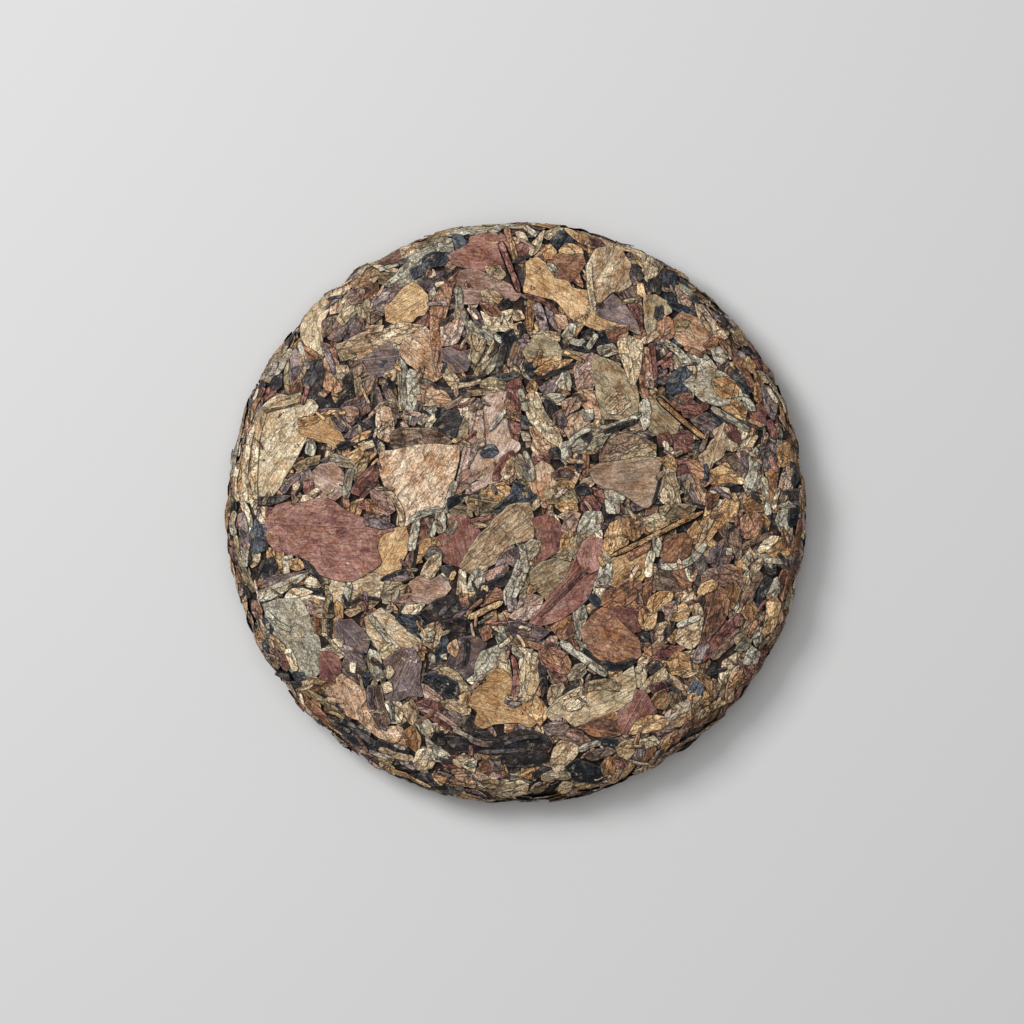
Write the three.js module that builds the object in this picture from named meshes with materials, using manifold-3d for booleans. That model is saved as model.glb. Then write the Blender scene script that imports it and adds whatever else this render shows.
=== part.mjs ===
// A round cake of pressed white tea, in millimetres, +Z up, lying on its back.
// Whole and torn leaves are pressed flat into a disc with a full round edge. The face is
// slightly crowned, and the back has the round hollow that the knot of the pressing cloth leaves.
// The cake is one solid: a bumpy core, with the leaves that show joined on as thin wavy plates.
import * as THREE from "three";
import { mergeVertices } from "three/addons/utils/BufferGeometryUtils.js";
import Module from "manifold-3d";

// Driving dimensions of the cake
const DIAMETER = 200;
const CORE_DIAMETER = 198;
const CORE_HEIGHT = 24;
const BACK_CLEARANCE = 0.7; // the core's back stays this far above the resting plane
const CROWN = 1.4; // how much higher the middle of the face is than its shoulder
const EDGE_DEPTH = 12.5; // how far in from the side the edge begins to turn
const HOLLOW_RADIUS = 24; // the cloth knot's hollow in the back
const HOLLOW_DEPTH = 7;

// Relief of the core
const BUMP_HEIGHT = 0.5;
const BUMP_LENGTH = 11;
const CORE_SEGMENTS = 52;

// Leaf plates
const LEAF_RISE = 0.55; // the lowest leaf's face above the core
const LEAF_STEP = 1.1; // how much higher than that the last leaf laid lies
const LEAF_ROOT = 2.2; // how deep a plate is set into the core
const LEAF_WAVE = 0.32;
const FACET_LENGTH = 9.5; // a leaf's facets are about this long
const NARROW = 6; // a leaf narrower than this has one row of facets, not two
const FINEST = 0.01; // slivers finer than this are taken out of the joined solid

// The cake in the photograph: its centre and its width there
const PHOTO_CENTRE = [516.5, 512.5];
const PHOTO_WIDTH = 578;
const MM_PER_PIXEL = DIAMETER / PHOTO_WIDTH;

// Seeded random numbers, the same in each run
function seeded(seed) {
  let state = seed >>> 0;
  return () => {
    state = (state + 0x6d2b79f5) >>> 0;
    let mixed = Math.imul(state ^ (state >>> 15), 1 | state);
    mixed = (mixed + Math.imul(mixed ^ (mixed >>> 7), 61 | mixed)) ^ mixed;
    return ((mixed ^ (mixed >>> 14)) >>> 0) / 4294967296;
  };
}

// A smooth unevenness between about -1 and 1, for a place in space and a seed
function unevenness(x, y, z, seed = 0) {
  const a = Math.sin(x * 1.0 + seed * 1.7 + 1.9 * Math.sin(y * 0.61 + seed));
  const b = Math.sin(y * 1.13 + seed * 2.3 + 1.7 * Math.sin(z * 0.83 + x * 0.37));
  const c = Math.sin((x - y) * 0.71 + z * 1.21 + seed * 0.9);
  return (a + b + c) / 2.4;
}

// The cake's half section as a path from the middle of the face, round the edge, to the middle
// of the back. sectionAt gives the point and the outward direction at a length along it.
const BOTTOM = BACK_CLEARANCE;
const TOP = BOTTOM + CORE_HEIGHT;
const SHOULDER_Z = TOP - CROWN;
const SHOULDER_RADIUS = CORE_DIAMETER / 2 - EDGE_DEPTH;
const SECTION = new THREE.CurvePath();
SECTION.add(
  new THREE.QuadraticBezierCurve(
    new THREE.Vector2(0, TOP),
    new THREE.Vector2(SHOULDER_RADIUS * 0.6, TOP),
    new THREE.Vector2(SHOULDER_RADIUS, SHOULDER_Z),
  ),
);
const MIDDLE_Z = (SHOULDER_Z + BOTTOM) / 2;
SECTION.add(
  new THREE.EllipseCurve(
    SHOULDER_RADIUS,
    MIDDLE_Z,
    EDGE_DEPTH,
    SHOULDER_Z - MIDDLE_Z,
    Math.PI / 2,
    -Math.PI / 2,
    true,
  ),
);
SECTION.add(
  new THREE.LineCurve(
    new THREE.Vector2(SHOULDER_RADIUS, BOTTOM),
    new THREE.Vector2(HOLLOW_RADIUS, BOTTOM),
  ),
);
SECTION.add(
  new THREE.CubicBezierCurve(
    new THREE.Vector2(HOLLOW_RADIUS, BOTTOM),
    new THREE.Vector2(HOLLOW_RADIUS * 0.62, BOTTOM),
    new THREE.Vector2(HOLLOW_RADIUS * 0.66, BOTTOM + HOLLOW_DEPTH),
    new THREE.Vector2(0, BOTTOM + HOLLOW_DEPTH),
  ),
);
const SECTION_LENGTH = SECTION.getLength();

function sectionAt(along) {
  const share = THREE.MathUtils.clamp(along / SECTION_LENGTH, 0, 1);
  const point = SECTION.getPointAt(share);
  const before = SECTION.getPointAt(Math.max(0, share - 0.004));
  const after = SECTION.getPointAt(Math.min(1, share + 0.004));
  const direction = after.sub(before).normalize();
  return { radius: point.x, z: point.y, outR: -direction.y, outZ: direction.x };
}

// A place on the cake: x and y are measured on its skin, unrolled flat from the middle of the
// face or of the back, and lift is the distance out from the core.
function onCake(x, y, lift, side) {
  const reach = Math.hypot(x, y);
  const along = side === "back" ? SECTION_LENGTH - reach : reach;
  const { radius, z, outR, outZ } = sectionAt(along);
  const angle = Math.atan2(y, x);
  const across = radius + outR * lift;
  return new THREE.Vector3(across * Math.cos(angle), across * Math.sin(angle), z + outZ * lift);
}

// The core: the half section turned round, with bumps as large as pressed leaves
function coreGeometry() {
  const points = [];
  const rings = [0, 9, 20, 31, 42, 53, 64, 75, 85, 91, 97, 103, 109, 116, 125, 137, 149];
  for (const along of rings) points.push(sectionAt(along));
  const left = SECTION_LENGTH - rings[rings.length - 1];
  for (const share of [0.2, 0.38, 0.55, 0.72, 0.88, 1])
    points.push(sectionAt(SECTION_LENGTH - left * (1 - share)));
  const profile = points.map((p) => new THREE.Vector2(Math.max(0, p.radius), p.z)).reverse();
  profile[0].x = 0;
  profile[profile.length - 1].x = 0;
  const turned = new THREE.LatheGeometry(profile, CORE_SEGMENTS);
  turned.rotateX(Math.PI / 2);
  const place = turned.getAttribute("position");
  for (let i = 0; i < place.count; i++) {
    const [x, y, z] = [place.getX(i), place.getY(i), place.getZ(i)];
    const out = new THREE.Vector3(x, y, 0).length() / (CORE_DIAMETER / 2);
    const bump = BUMP_HEIGHT * unevenness(x / BUMP_LENGTH, y / BUMP_LENGTH, z / BUMP_LENGTH, 2);
    const side = z > MIDDLE_Z ? 1 : -1;
    const edge = THREE.MathUtils.smoothstep(out, 0.86, 1);
    const angle = Math.atan2(y, x);
    place.setXYZ(
      i,
      x + bump * edge * Math.cos(angle),
      y + bump * edge * Math.sin(angle),
      z + bump * (1 - edge) * side,
    );
  }
  return turned;
}

// A leaf's outline: half its width, as a share, at each place t along it from stalk to tip
const FORMS = {
  whole: (t) => Math.sin(Math.PI * (0.03 + 0.94 * t)) ** 0.7,
  tip: (t) => (0.35 + 0.65 * Math.min(1, t * 5)) * (1 - t ** 1.7) ** 0.75 + 0.04,
  piece: (t) => 0.72 + 0.28 * Math.sin(Math.PI * t),
  wedge: (t) => 1 - 0.9 * t,
  strip: (t) => Math.min(1, 0.35 + 4 * t, 0.35 + 4 * (1 - t)),
  stalk: () => 1,
};

// A leaf plate as one closed wavy sheet: both faces and the wall round them
function leafGeometry({ form, x, y, length, width, turn, bend = 0, rise, seed, side = "face" }) {
  const random = seeded(seed * 7919 + 13);
  const steps = Math.max(2, Math.round(length / FACET_LENGTH));
  const rows = Math.max(width < NARROW ? 1 : 2, Math.round(width / FACET_LENGTH));
  const slants = [random() - 0.5, random() - 0.5].map((s) => (form === "piece" ? s * 0.7 : 0));
  const ragged = Array.from({ length: (steps + 1) * 2 }, () => 1 + 0.24 * (random() - 0.5));
  const heading = THREE.MathUtils.degToRad(turn);
  const vertices = [];
  const lay = (t, v, lift) => {
    const row = Math.round(t * steps) * 2 + (v > 0 ? 1 : 0);
    const half = (width / 2) * FORMS[form](t) * ragged[row];
    const slant = (slants[0] * (1 - t) + slants[1] * t) * (width / 2) * v;
    const along = (t - 0.5) * length + slant;
    const across = v * half + bend * length * ((2 * t - 1) ** 2 - 0.4);
    const px = x + along * Math.cos(heading) - across * Math.sin(heading);
    const py = y + along * Math.sin(heading) + across * Math.cos(heading);
    const wave = LEAF_WAVE * unevenness(px / 3.1, py / 3.1, seed * 3.7, seed % 17);
    const point = onCake(px, py, lift > 0 ? lift + wave : lift, side);
    vertices.push(point.x, point.y, point.z);
  };
  for (const lift of [rise, -LEAF_ROOT])
    for (let i = 0; i <= steps; i++)
      for (let j = 0; j <= rows; j++) lay(i / steps, (2 * j) / rows - 1, lift);
  const faces = [];
  const layer = (steps + 1) * (rows + 1);
  const at = (i, j, low) => i * (rows + 1) + j + (low ? layer : 0);
  for (let i = 0; i < steps; i++)
    for (let j = 0; j < rows; j++) {
      const [a, b, c, d] = [at(i, j), at(i + 1, j), at(i + 1, j + 1), at(i, j + 1)];
      faces.push(a, b, c, a, c, d);
      faces.push(a + layer, c + layer, b + layer, a + layer, d + layer, c + layer);
    }
  const rim = [];
  for (let i = 0; i < steps; i++) rim.push(at(i, 0));
  for (let j = 0; j < rows; j++) rim.push(at(steps, j));
  for (let i = steps; i > 0; i--) rim.push(at(i, rows));
  for (let j = rows; j > 0; j--) rim.push(at(0, j));
  rim.forEach((a, k) => {
    const b = rim[(k + 1) % rim.length];
    faces.push(a, a + layer, b + layer, a, b + layer, b);
  });
  if (side === "back") faces.reverse(); // the back is seen from below, so its faces turn round
  const sheet = new THREE.BufferGeometry();
  sheet.setAttribute("position", new THREE.Float32BufferAttribute(vertices, 3));
  sheet.setIndex(faces);
  return sheet;
}

// A place in the photograph, measured on the cake's unrolled skin
function fromPhoto([column, row]) {
  const x = (column - PHOTO_CENTRE[0]) * MM_PER_PIXEL;
  const y = (PHOTO_CENTRE[1] - row) * MM_PER_PIXEL;
  const out = Math.hypot(x, y);
  if (out <= SHOULDER_RADIUS) return [x, y];
  const turned = Math.asin(Math.min(0.98, (out - SHOULDER_RADIUS) / EDGE_DEPTH));
  const unrolled = SHOULDER_RADIUS + turned * EDGE_DEPTH;
  return [(x * unrolled) / out, (y * unrolled) / out];
}

// The largest leaves of the face as the photograph shows them, from the lowest to the highest:
// form, middle in the photograph, length, width, and turn in degrees from the photograph's right
const FACE_LEAVES = [
  ["piece", [488, 286], 23, 16, 10],
  ["piece", [478, 253], 20, 11, 12],
  ["piece", [544, 351], 12, 9, 20],
  ["piece", [602, 383], 25, 17, -25],
  ["piece", [709, 380], 22, 12, -25],
  ["piece", [694, 332], 16, 11, -20],
  ["piece", [475, 341], 18, 14, 70],
  ["piece", [488, 422], 16, 16, 5],
  ["piece", [346, 418], 16, 8, 15],
  ["piece", [327, 481], 17, 12, 0],
  ["piece", [632, 452], 23, 6, 8],
  ["piece", [432, 587], 15, 9, 20],
  ["piece", [358, 638], 15, 10, -25],
  ["tip", [442, 719], 18, 6, -38],
  ["piece", [625, 594], 16, 9, 15],
  ["piece", [688, 627], 13, 8, 70],
  ["piece", [677, 550], 13, 8, 30],
  ["piece", [527, 755], 16, 11, 0],
  ["piece", [600, 726], 13, 7, 10],
  ["tip", [567, 299], 31, 15, -35],
  ["piece", [611, 276], 22, 19, 80],
  ["wedge", [619, 313], 17, 8, -48],
  ["whole", [417, 265], 28, 7, 38],
  ["tip", [385, 303], 19, 7, 42],
  ["tip", [406, 304], 15, 13, 5],
  ["piece", [377, 341], 31, 8, 15],
  ["piece", [381, 360], 13, 9, 20],
  ["piece", [421, 357], 15, 13, -60],
  ["strip", [440, 324], 36, 5.5, 80],
  ["strip", [330, 366], 18, 5.5, -78],
  ["strip", [411, 399], 20, 4, 86],
  ["piece", [320, 427], 14, 8, -25],
  ["strip", [423, 441], 21, 6, -3],
  ["strip", [514, 408], 22, 3.4, 88],
  ["wedge", [629, 360], 16, 7, -82],
  ["strip", [682, 418], 23, 2.6, -41],
  ["strip", [544, 416], 22, 4.6, -58],
  ["strip", [602, 435], 26, 4.2, 27, 0.05],
  ["piece", [275, 450], 38, 21, 62],
  ["piece", [417, 481], 25, 23, 5],
  ["tip", [630, 477], 30, 16, 172],
  ["piece", [669, 490], 11, 6, 85],
  ["piece", [722, 445], 13, 7, 60],
  ["tip", [373, 571], 34, 15, 50],
  ["whole", [325, 541], 43, 24, -10],
  ["piece", [453, 543], 15, 10, 60],
  ["tip", [488, 548], 22, 10, 42],
  ["piece", [455, 612], 17, 11, -30],
  ["tip", [463, 655], 20, 13, -60],
  ["piece", [398, 637], 25, 11, -30],
  ["piece", [297, 642], 29, 14, -67],
  ["strip", [291, 590], 25, 4, 14],
  ["tip", [404, 678], 18, 11, -65],
  ["piece", [344, 697], 15, 12, -40],
  ["tip", [385, 736], 20, 7, -30],
  ["piece", [548, 575], 16, 11, 25],
  ["whole", [575, 581], 33, 10, 58],
  ["piece", [529, 634], 16, 7, -15],
  ["tip", [611, 638], 23, 15, -42],
  ["strip", [609, 663], 20, 2.4, 0, 0.09],
  ["tip", [523, 675], 19, 7, -75],
  ["wedge", [552, 663], 17, 8, 135],
  ["whole", [488, 665], 15, 7, 55],
  ["tip", [499, 703], 22, 14, 190],
  ["piece", [597, 697], 29, 12, 20],
  ["piece", [634, 711], 17, 11, 60],
  ["whole", [652, 724], 13, 5, 20],
  ["piece", [715, 613], 20, 10, 62],
  ["strip", [652, 533], 31, 2.6, 22],
  ["piece", [500, 742], 35, 11, -3],
  ["stalk", [512, 268], 18.5, 2.4, -69],
  ["stalk", [485, 611], 12.5, 1.9, 25],
];

// Leaves that wrap the edge, spread round it by a seeded draw. The unrolled skin of the face
// runs on over the edge, so they sit where it turns down.
function edgeLeaves(count, random) {
  const forms = ["piece", "whole", "strip", "tip"];
  return Array.from({ length: count }, (_, k) => {
    const angle = ((k + 0.5 * random()) / count) * 2 * Math.PI;
    const reach = SHOULDER_RADIUS + EDGE_DEPTH * (0.55 + 1.1 * random());
    return {
      form: forms[Math.floor(random() * forms.length)],
      x: reach * Math.cos(angle),
      y: reach * Math.sin(angle),
      length: 17 + 13 * random(),
      width: 6 + 6 * random(),
      turn: THREE.MathUtils.radToDeg(angle) + 90 + 50 * (random() - 0.5),
      rise: LEAF_RISE + 0.5 * LEAF_STEP * random(),
      seed: 300 + k,
    };
  });
}

// Leaves pressed flat on the back, in rings round the hollow
const BACK_RINGS = [
  { radius: 38, count: 7 },
  { radius: 58, count: 9 },
  { radius: 78, count: 12 },
];

function backLeaves(random) {
  const forms = ["piece", "whole", "tip", "piece"];
  return BACK_RINGS.flatMap(({ radius, count }, ring) =>
    Array.from({ length: count }, (_, k) => {
      const angle = ((k + 0.35 * random() + ring * 0.4) / count) * 2 * Math.PI;
      return {
        form: forms[Math.floor(random() * forms.length)],
        x: radius * Math.cos(angle),
        y: radius * Math.sin(angle),
        length: 20 + 14 * random(),
        width: 10 + 6 * random(),
        turn: 360 * random(),
        rise: LEAF_RISE + 0.3 + 0.4 * random(),
        seed: 600 + ring * 40 + k,
        side: "back",
      };
    }),
  );
}

// The leaf that the cake's resting face is measured on: it lies on the back, to the right
const REST_LEAF = {
  form: "piece",
  x: 56,
  y: 0,
  length: 30,
  width: 17,
  turn: 90,
  rise: LEAF_RISE + 0.9,
  seed: 999,
  side: "back",
};

function allLeaves() {
  const random = seeded(20461);
  const face = FACE_LEAVES.map(([form, at, length, width, turn, bend], k) => {
    const [x, y] = fromPhoto(at);
    const rise = LEAF_RISE + (LEAF_STEP * k) / FACE_LEAVES.length;
    return { form, x, y, length, width, turn, bend, rise, seed: k + 1 };
  });
  return [...edgeLeaves(26, random), ...backLeaves(random), REST_LEAF, ...face];
}

// Joining and cutting closed meshes
const wasm = await Module();
wasm.setup();

function solidFrom(geometry) {
  const bare = new THREE.BufferGeometry();
  bare.setAttribute("position", geometry.getAttribute("position"));
  bare.setIndex(geometry.index);
  const merged = mergeVertices(bare, 1e-4);
  const used = [];
  const index = merged.index.array;
  for (let i = 0; i < index.length; i += 3) {
    const [a, b, c] = [index[i], index[i + 1], index[i + 2]];
    if (a !== b && b !== c && c !== a) used.push(a, b, c);
  }
  return new wasm.Manifold(
    new wasm.Mesh({
      numProp: 3,
      vertProperties: new Float32Array(merged.getAttribute("position").array),
      triVerts: new Uint32Array(used),
    }),
  );
}

function geometryFrom(solid) {
  const mesh = solid.getMesh();
  const geometry = new THREE.BufferGeometry();
  const places = new Float32Array(mesh.numVert * 3);
  for (let i = 0; i < mesh.numVert; i++)
    places.set(mesh.vertProperties.subarray(i * mesh.numProp, i * mesh.numProp + 3), i * 3);
  geometry.setAttribute("position", new THREE.BufferAttribute(places, 3));
  geometry.setIndex(new THREE.BufferAttribute(mesh.triVerts, 1));
  geometry.computeVertexNormals();
  return geometry;
}

// Everything below the resting plane, which the press plate keeps flat
function belowRest() {
  const block = new THREE.BoxGeometry(2 * DIAMETER, 2 * DIAMETER, DIAMETER);
  block.translate(0, 0, -DIAMETER / 2);
  return solidFrom(block);
}

function pressedCake() {
  const plates = allLeaves().map((leaf) => solidFrom(leafGeometry(leaf)));
  const joined = wasm.Manifold.union([solidFrom(coreGeometry()), ...plates]);
  const pressed = joined.subtract(belowRest()).asOriginal().simplify(FINEST);
  const bodies = pressed.decompose();
  bodies.sort((a, b) => b.volume() - a.volume());
  return geometryFrom(bodies[0]);
}

const leafBrown = new THREE.MeshStandardMaterial({
  color: new THREE.Color(0.4, 0.29, 0.2),
  roughness: 0.8,
  metalness: 0,
});

const teaCake = new THREE.Mesh(pressedCake(), leafBrown);
teaCake.name = "tea_cake";
teaCake.geometry.computeBoundingBox();
const box = teaCake.geometry.boundingBox;
teaCake.position.set(-(box.min.x + box.max.x) / 2, -(box.min.y + box.max.y) / 2, -box.min.z);

const cake = new THREE.Group();
cake.add(teaCake);

export default cake;
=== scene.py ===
# %% [markdown]
# # A cake of pressed white tea
# The real thing is a heap of whole and torn dried leaves, steamed, wrapped in cloth and pressed
# flat under a stone. Seen close, it is a mosaic: broad leaves lie on smaller ones, every edge
# stands a little proud, and the gaps between them are almost black.
# A shader alone can paint such a mosaic, but its edges would cast no shadow. So every leaf here
# is a thin solid of its own, and each is laid on those that lie under it.

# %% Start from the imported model
import math
import bmesh
import bpy
import numpy as np
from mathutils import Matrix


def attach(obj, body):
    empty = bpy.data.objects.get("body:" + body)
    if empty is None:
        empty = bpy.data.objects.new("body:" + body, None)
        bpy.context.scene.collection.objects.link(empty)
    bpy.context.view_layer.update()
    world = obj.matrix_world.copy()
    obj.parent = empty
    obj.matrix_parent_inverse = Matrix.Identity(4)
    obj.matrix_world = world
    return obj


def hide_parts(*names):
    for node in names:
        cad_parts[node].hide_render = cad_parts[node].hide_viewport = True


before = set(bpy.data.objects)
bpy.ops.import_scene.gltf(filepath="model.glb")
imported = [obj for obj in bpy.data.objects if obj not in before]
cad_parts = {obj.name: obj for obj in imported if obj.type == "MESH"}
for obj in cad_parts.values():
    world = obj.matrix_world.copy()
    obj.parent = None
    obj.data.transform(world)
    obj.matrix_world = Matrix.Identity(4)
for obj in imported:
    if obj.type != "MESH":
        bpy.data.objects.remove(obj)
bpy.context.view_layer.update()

# %% [markdown]
# ## The skin of the cake
# The cake is a disc with a full round edge. Its half section runs from the middle of the face,
# round the edge, to the hollow that the cloth's knot leaves in the back. Leaves are laid on a
# flat map of that skin, measured in millimetres from the middle of the face or of the back,
# and the map is then wrapped round the section. A leaf that runs over the edge bends with it.

# %% The section's named sizes, in millimetres
CORE_RADIUS = 99.0
TOP = 24.7
BOTTOM = 0.7
CROWN = 1.4
EDGE_DEPTH = 12.5
SHOULDER = CORE_RADIUS - EDGE_DEPTH
SHOULDER_Z = TOP - CROWN
MIDDLE_Z = (SHOULDER_Z + BOTTOM) / 2
HOLLOW_RADIUS = 24.0
HOLLOW_DEPTH = 7.0
TO_METRES = 0.001


def bezier(points, count=80):
    """Points along a Bezier curve of two or three spans of control"""
    t = np.linspace(0, 1, count)[:, None]
    points = [np.array(p, float) for p in points]
    while len(points) > 1:
        points = [a + (b - a) * t for a, b in zip(points, points[1:])]
    return points[0]


def half_section():
    """Radius and height along the half section, from the face's middle to the back's"""
    face = bezier([(0, TOP), (SHOULDER * 0.6, TOP), (SHOULDER, SHOULDER_Z)])
    turn = np.linspace(math.pi / 2, -math.pi / 2, 120)
    half_height = (SHOULDER_Z - BOTTOM) / 2
    edge = np.stack([SHOULDER + EDGE_DEPTH * np.cos(turn), MIDDLE_Z + half_height * np.sin(turn)], 1)
    roof = BOTTOM + HOLLOW_DEPTH
    hollow = bezier([
        (HOLLOW_RADIUS, BOTTOM),
        (HOLLOW_RADIUS * 0.62, BOTTOM),
        (HOLLOW_RADIUS * 0.66, roof),
        (0, roof),
    ])
    return np.concatenate([face, edge[1:], hollow])


section = half_section()
steps = np.diff(section, axis=0)
along = np.concatenate([[0], np.cumsum(np.hypot(steps[:, 0], steps[:, 1]))])
SECTION_LENGTH = along[-1]
slope = np.gradient(section, along, axis=0)
slope /= np.linalg.norm(slope, axis=1)[:, None]
print("the half section is", round(SECTION_LENGTH, 1), "mm long")


def skin(x, y, lift, side):
    """Where a place on the map is in space, lifted out from the core"""
    reach = np.hypot(x, y)
    at = SECTION_LENGTH - reach if side == "back" else reach
    radius = np.interp(at, along, section[:, 0])
    z = np.interp(at, along, section[:, 1])
    out_r = -np.interp(at, along, slope[:, 1])
    out_z = np.interp(at, along, slope[:, 0])
    angle = np.arctan2(y, x)
    across = np.maximum(radius + out_r * lift, 0)
    return np.stack([across * np.cos(angle), across * np.sin(angle), z + out_z * lift], -1)


# %% [markdown]
# ## Laying leaves on leaves
# A leaf that is laid on a heap rests on its high spots and sags a little between them. A height
# map does that well: a small grid holds how high the heap is everywhere. Each new leaf reads the
# heap under it, smoothed by the leaf's own stiffness, lies on that, and then raises the map.
# A physics simulation of four thousand leaves would take hours and would look much the same.

# %% The height maps of the face and of the back
CELL = 0.5
MAP_REACH = 124.0
CELLS = int(2 * MAP_REACH / CELL) + 1
heap = {"face": np.zeros((CELLS, CELLS)), "back": np.zeros((CELLS, CELLS))}
breadth = {"face": np.zeros((CELLS, CELLS)), "back": np.zeros((CELLS, CELLS))}


def soften(grid, radius):
    """A grid with everything smoothed away that is smaller than the radius, in cells"""
    radius = max(1, int(round(radius)))
    for axis in (0, 1, 0, 1):
        widths = [(radius + 1, radius) if a == axis else (0, 0) for a in (0, 1)]
        total = np.cumsum(np.pad(grid, widths, mode="edge"), axis=axis)
        size = grid.shape[axis]
        high = np.take(total, np.arange(size) + 2 * radius + 1, axis=axis)
        low = np.take(total, np.arange(size), axis=axis)
        grid = (high - low) / (2 * radius + 1)
    return grid


def spread(grid, times):
    """A grid with its high spots grown by some cells"""
    for _ in range(times):
        grown = np.pad(grid, 1, mode="edge")
        grid = np.maximum.reduce([
            grown[1:-1, 1:-1], grown[:-2, 1:-1], grown[2:, 1:-1], grown[1:-1, :-2], grown[1:-1, 2:],
        ])
    return grid


def read(grid, column, row):
    """A grid's value between its cells"""
    column = np.clip(column, 0, grid.shape[1] - 1.001)
    row = np.clip(row, 0, grid.shape[0] - 1.001)
    c, r = column.astype(int), row.astype(int)
    u, v = column - c, row - r
    upper = grid[r, c] * (1 - u) + grid[r, c + 1] * u
    lower = grid[r + 1, c] * (1 - u) + grid[r + 1, c + 1] * u
    return upper * (1 - v) + lower * v


def read_map(grid, x, y):
    """A map's value at a place in millimetres"""
    return read(grid, (x + MAP_REACH) / CELL, (y + MAP_REACH) / CELL)


# %% [markdown]
# ## One leaf
# A leaf is known by its two sides, from the stalk end to the tip. Each side is a line of
# corners on the map. A torn piece is split into its two sides at the corners that are farthest
# apart, and a strip or a stalk gets them from its middle line and its width.

# %% The two sides of a leaf
STATIONS = np.linspace(0, 1, 25)
RAGGED = 0.12
JAG = 0.4
JAGS = np.linspace(0, 1, 8)


def shares_of(line):
    """How far along a line each of its corners is, from 0 to 1"""
    gone = np.cumsum(np.hypot(*np.diff(line, axis=0).T))
    return np.concatenate([[0], gone]) / gone[-1]


def stations_of(line):
    """A line's places at the stations"""
    share = shares_of(line)
    return np.stack([np.interp(STATIONS, share, line[:, i]) for i in (0, 1)], 1)


def piece_sides(corners):
    """The two sides of a torn piece, and how far along them its corners are"""
    corners = np.array(corners, float)
    gaps = np.hypot(*(corners[:, None] - corners[None]).transpose(2, 0, 1))
    stalk, tip = sorted(np.unravel_index(gaps.argmax(), gaps.shape))
    one = corners[stalk:tip + 1]
    other = np.concatenate([corners[tip:], corners[:stalk + 1]])[::-1]
    bends = np.concatenate([shares_of(one)[1:-1], shares_of(other)[1:-1]])
    return stations_of(one), stations_of(other), bends


def strip_sides(points, width):
    """The two sides of a strip along a smooth line through a few points"""
    points = np.array(points, float)
    share = shares_of(points)
    bend = min(2, len(points) - 1)
    middle = np.stack([np.polyval(np.polyfit(share, points[:, i], bend), STATIONS) for i in (0, 1)], 1)
    way = np.gradient(middle, axis=0)
    way /= np.hypot(*way.T)[:, None]
    across = np.stack([-way[:, 1], way[:, 0]], 1)
    half = width / 2 * np.minimum(1, 0.5 + 8 * np.minimum(STATIONS, 1 - STATIONS))[:, None]
    return middle - across * half, middle + across * half, ()


def turned(x, y, a, b, turn):
    """Places at a along and b across a direction, counted from a middle"""
    return np.stack([x + a * np.cos(turn) - b * np.sin(turn), y + a * np.sin(turn) + b * np.cos(turn)], 1)


def torn_piece(rng, x, y, length, width, turn):
    """The corners of a torn piece: a rounded block with a few corners out or in"""
    count = rng.integers(4, 8)
    angle = (np.arange(count) + rng.uniform(-0.4, 0.4, count)) * 2 * math.pi / count
    c, s = np.cos(angle), np.sin(angle)
    reach = rng.uniform(0.75, 1.2, count) / (abs(c) ** 3 + abs(s) ** 3) ** (1 / 3)
    a, b = reach * c * length / 2, reach * s * width / 2
    return turned(x, y, a, b, turn)


def torn_strip(rng, x, y, length, turn):
    """Three points along a strip that is bent a little"""
    bow = rng.normal(0, 0.05) * length
    a, b = np.array([-0.5, 0, 0.5]) * length, np.array([-0.5, 0.5, -0.5]) * bow
    return turned(x, y, a, b, turn)


# %% [markdown]
# Every leaf starts as the same kind of blank: a flat grid made solid. Its thickness only tells
# the face from the underside, and the leaf gets its own when it is pressed. Along the leaf
# runs t, from 0 at the stalk to 1 at the tip, and across it runs v, from -1 on the first side
# to 1 on the second. A blank is made once for each number of steps.

# %% Blanks
blanks = {}


def blank(long_steps, cross_steps):
    """A closed plate's grid: t, v and which vertices are below, its faces, and which are level"""
    key = (long_steps, cross_steps)
    if key in blanks:
        return blanks[key]
    plate = bmesh.new()
    bmesh.ops.create_grid(plate, x_segments=long_steps, y_segments=cross_steps, size=0.5)
    bmesh.ops.solidify(plate, geom=plate.faces[:], thickness=0.1)
    bmesh.ops.recalc_face_normals(plate, faces=plate.faces[:])
    plate.verts.index_update()
    places = np.array([v.co[:] for v in plate.verts])
    faces = np.array([[v.index for v in f.verts] for f in plate.faces])
    level = abs(np.array([f.normal.z for f in plate.faces])) > 0.5
    plate.free()
    below = places[:, 2] < places[:, 2].mean()
    blanks[key] = (places[:, 0] + 0.5, places[:, 1] * 2, below, faces, level)
    return blanks[key]


print("a leaf blank of 4 by 2 steps has", len(blank(4, 2)[3]), "faces")


# %% What is random in a leaf
def ripples(rng, count, shortest, longest):
    """Random waves that add up to an unevenness: directions, lengths and phases"""
    way = rng.uniform(0, 2 * math.pi, count)
    number = 2 * math.pi / rng.uniform(shortest, longest, count)
    return np.cos(way) * number, np.sin(way) * number, rng.uniform(0, 2 * math.pi, count)


def unevenness(waves, a, b):
    """The waves added up, between about -1 and 1"""
    kx, ky, phase = waves
    total = sum(np.sin(kx[i] * a + ky[i] * b + phase[i]) for i in range(len(kx)))
    return total / math.sqrt(2 * len(kx))


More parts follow.
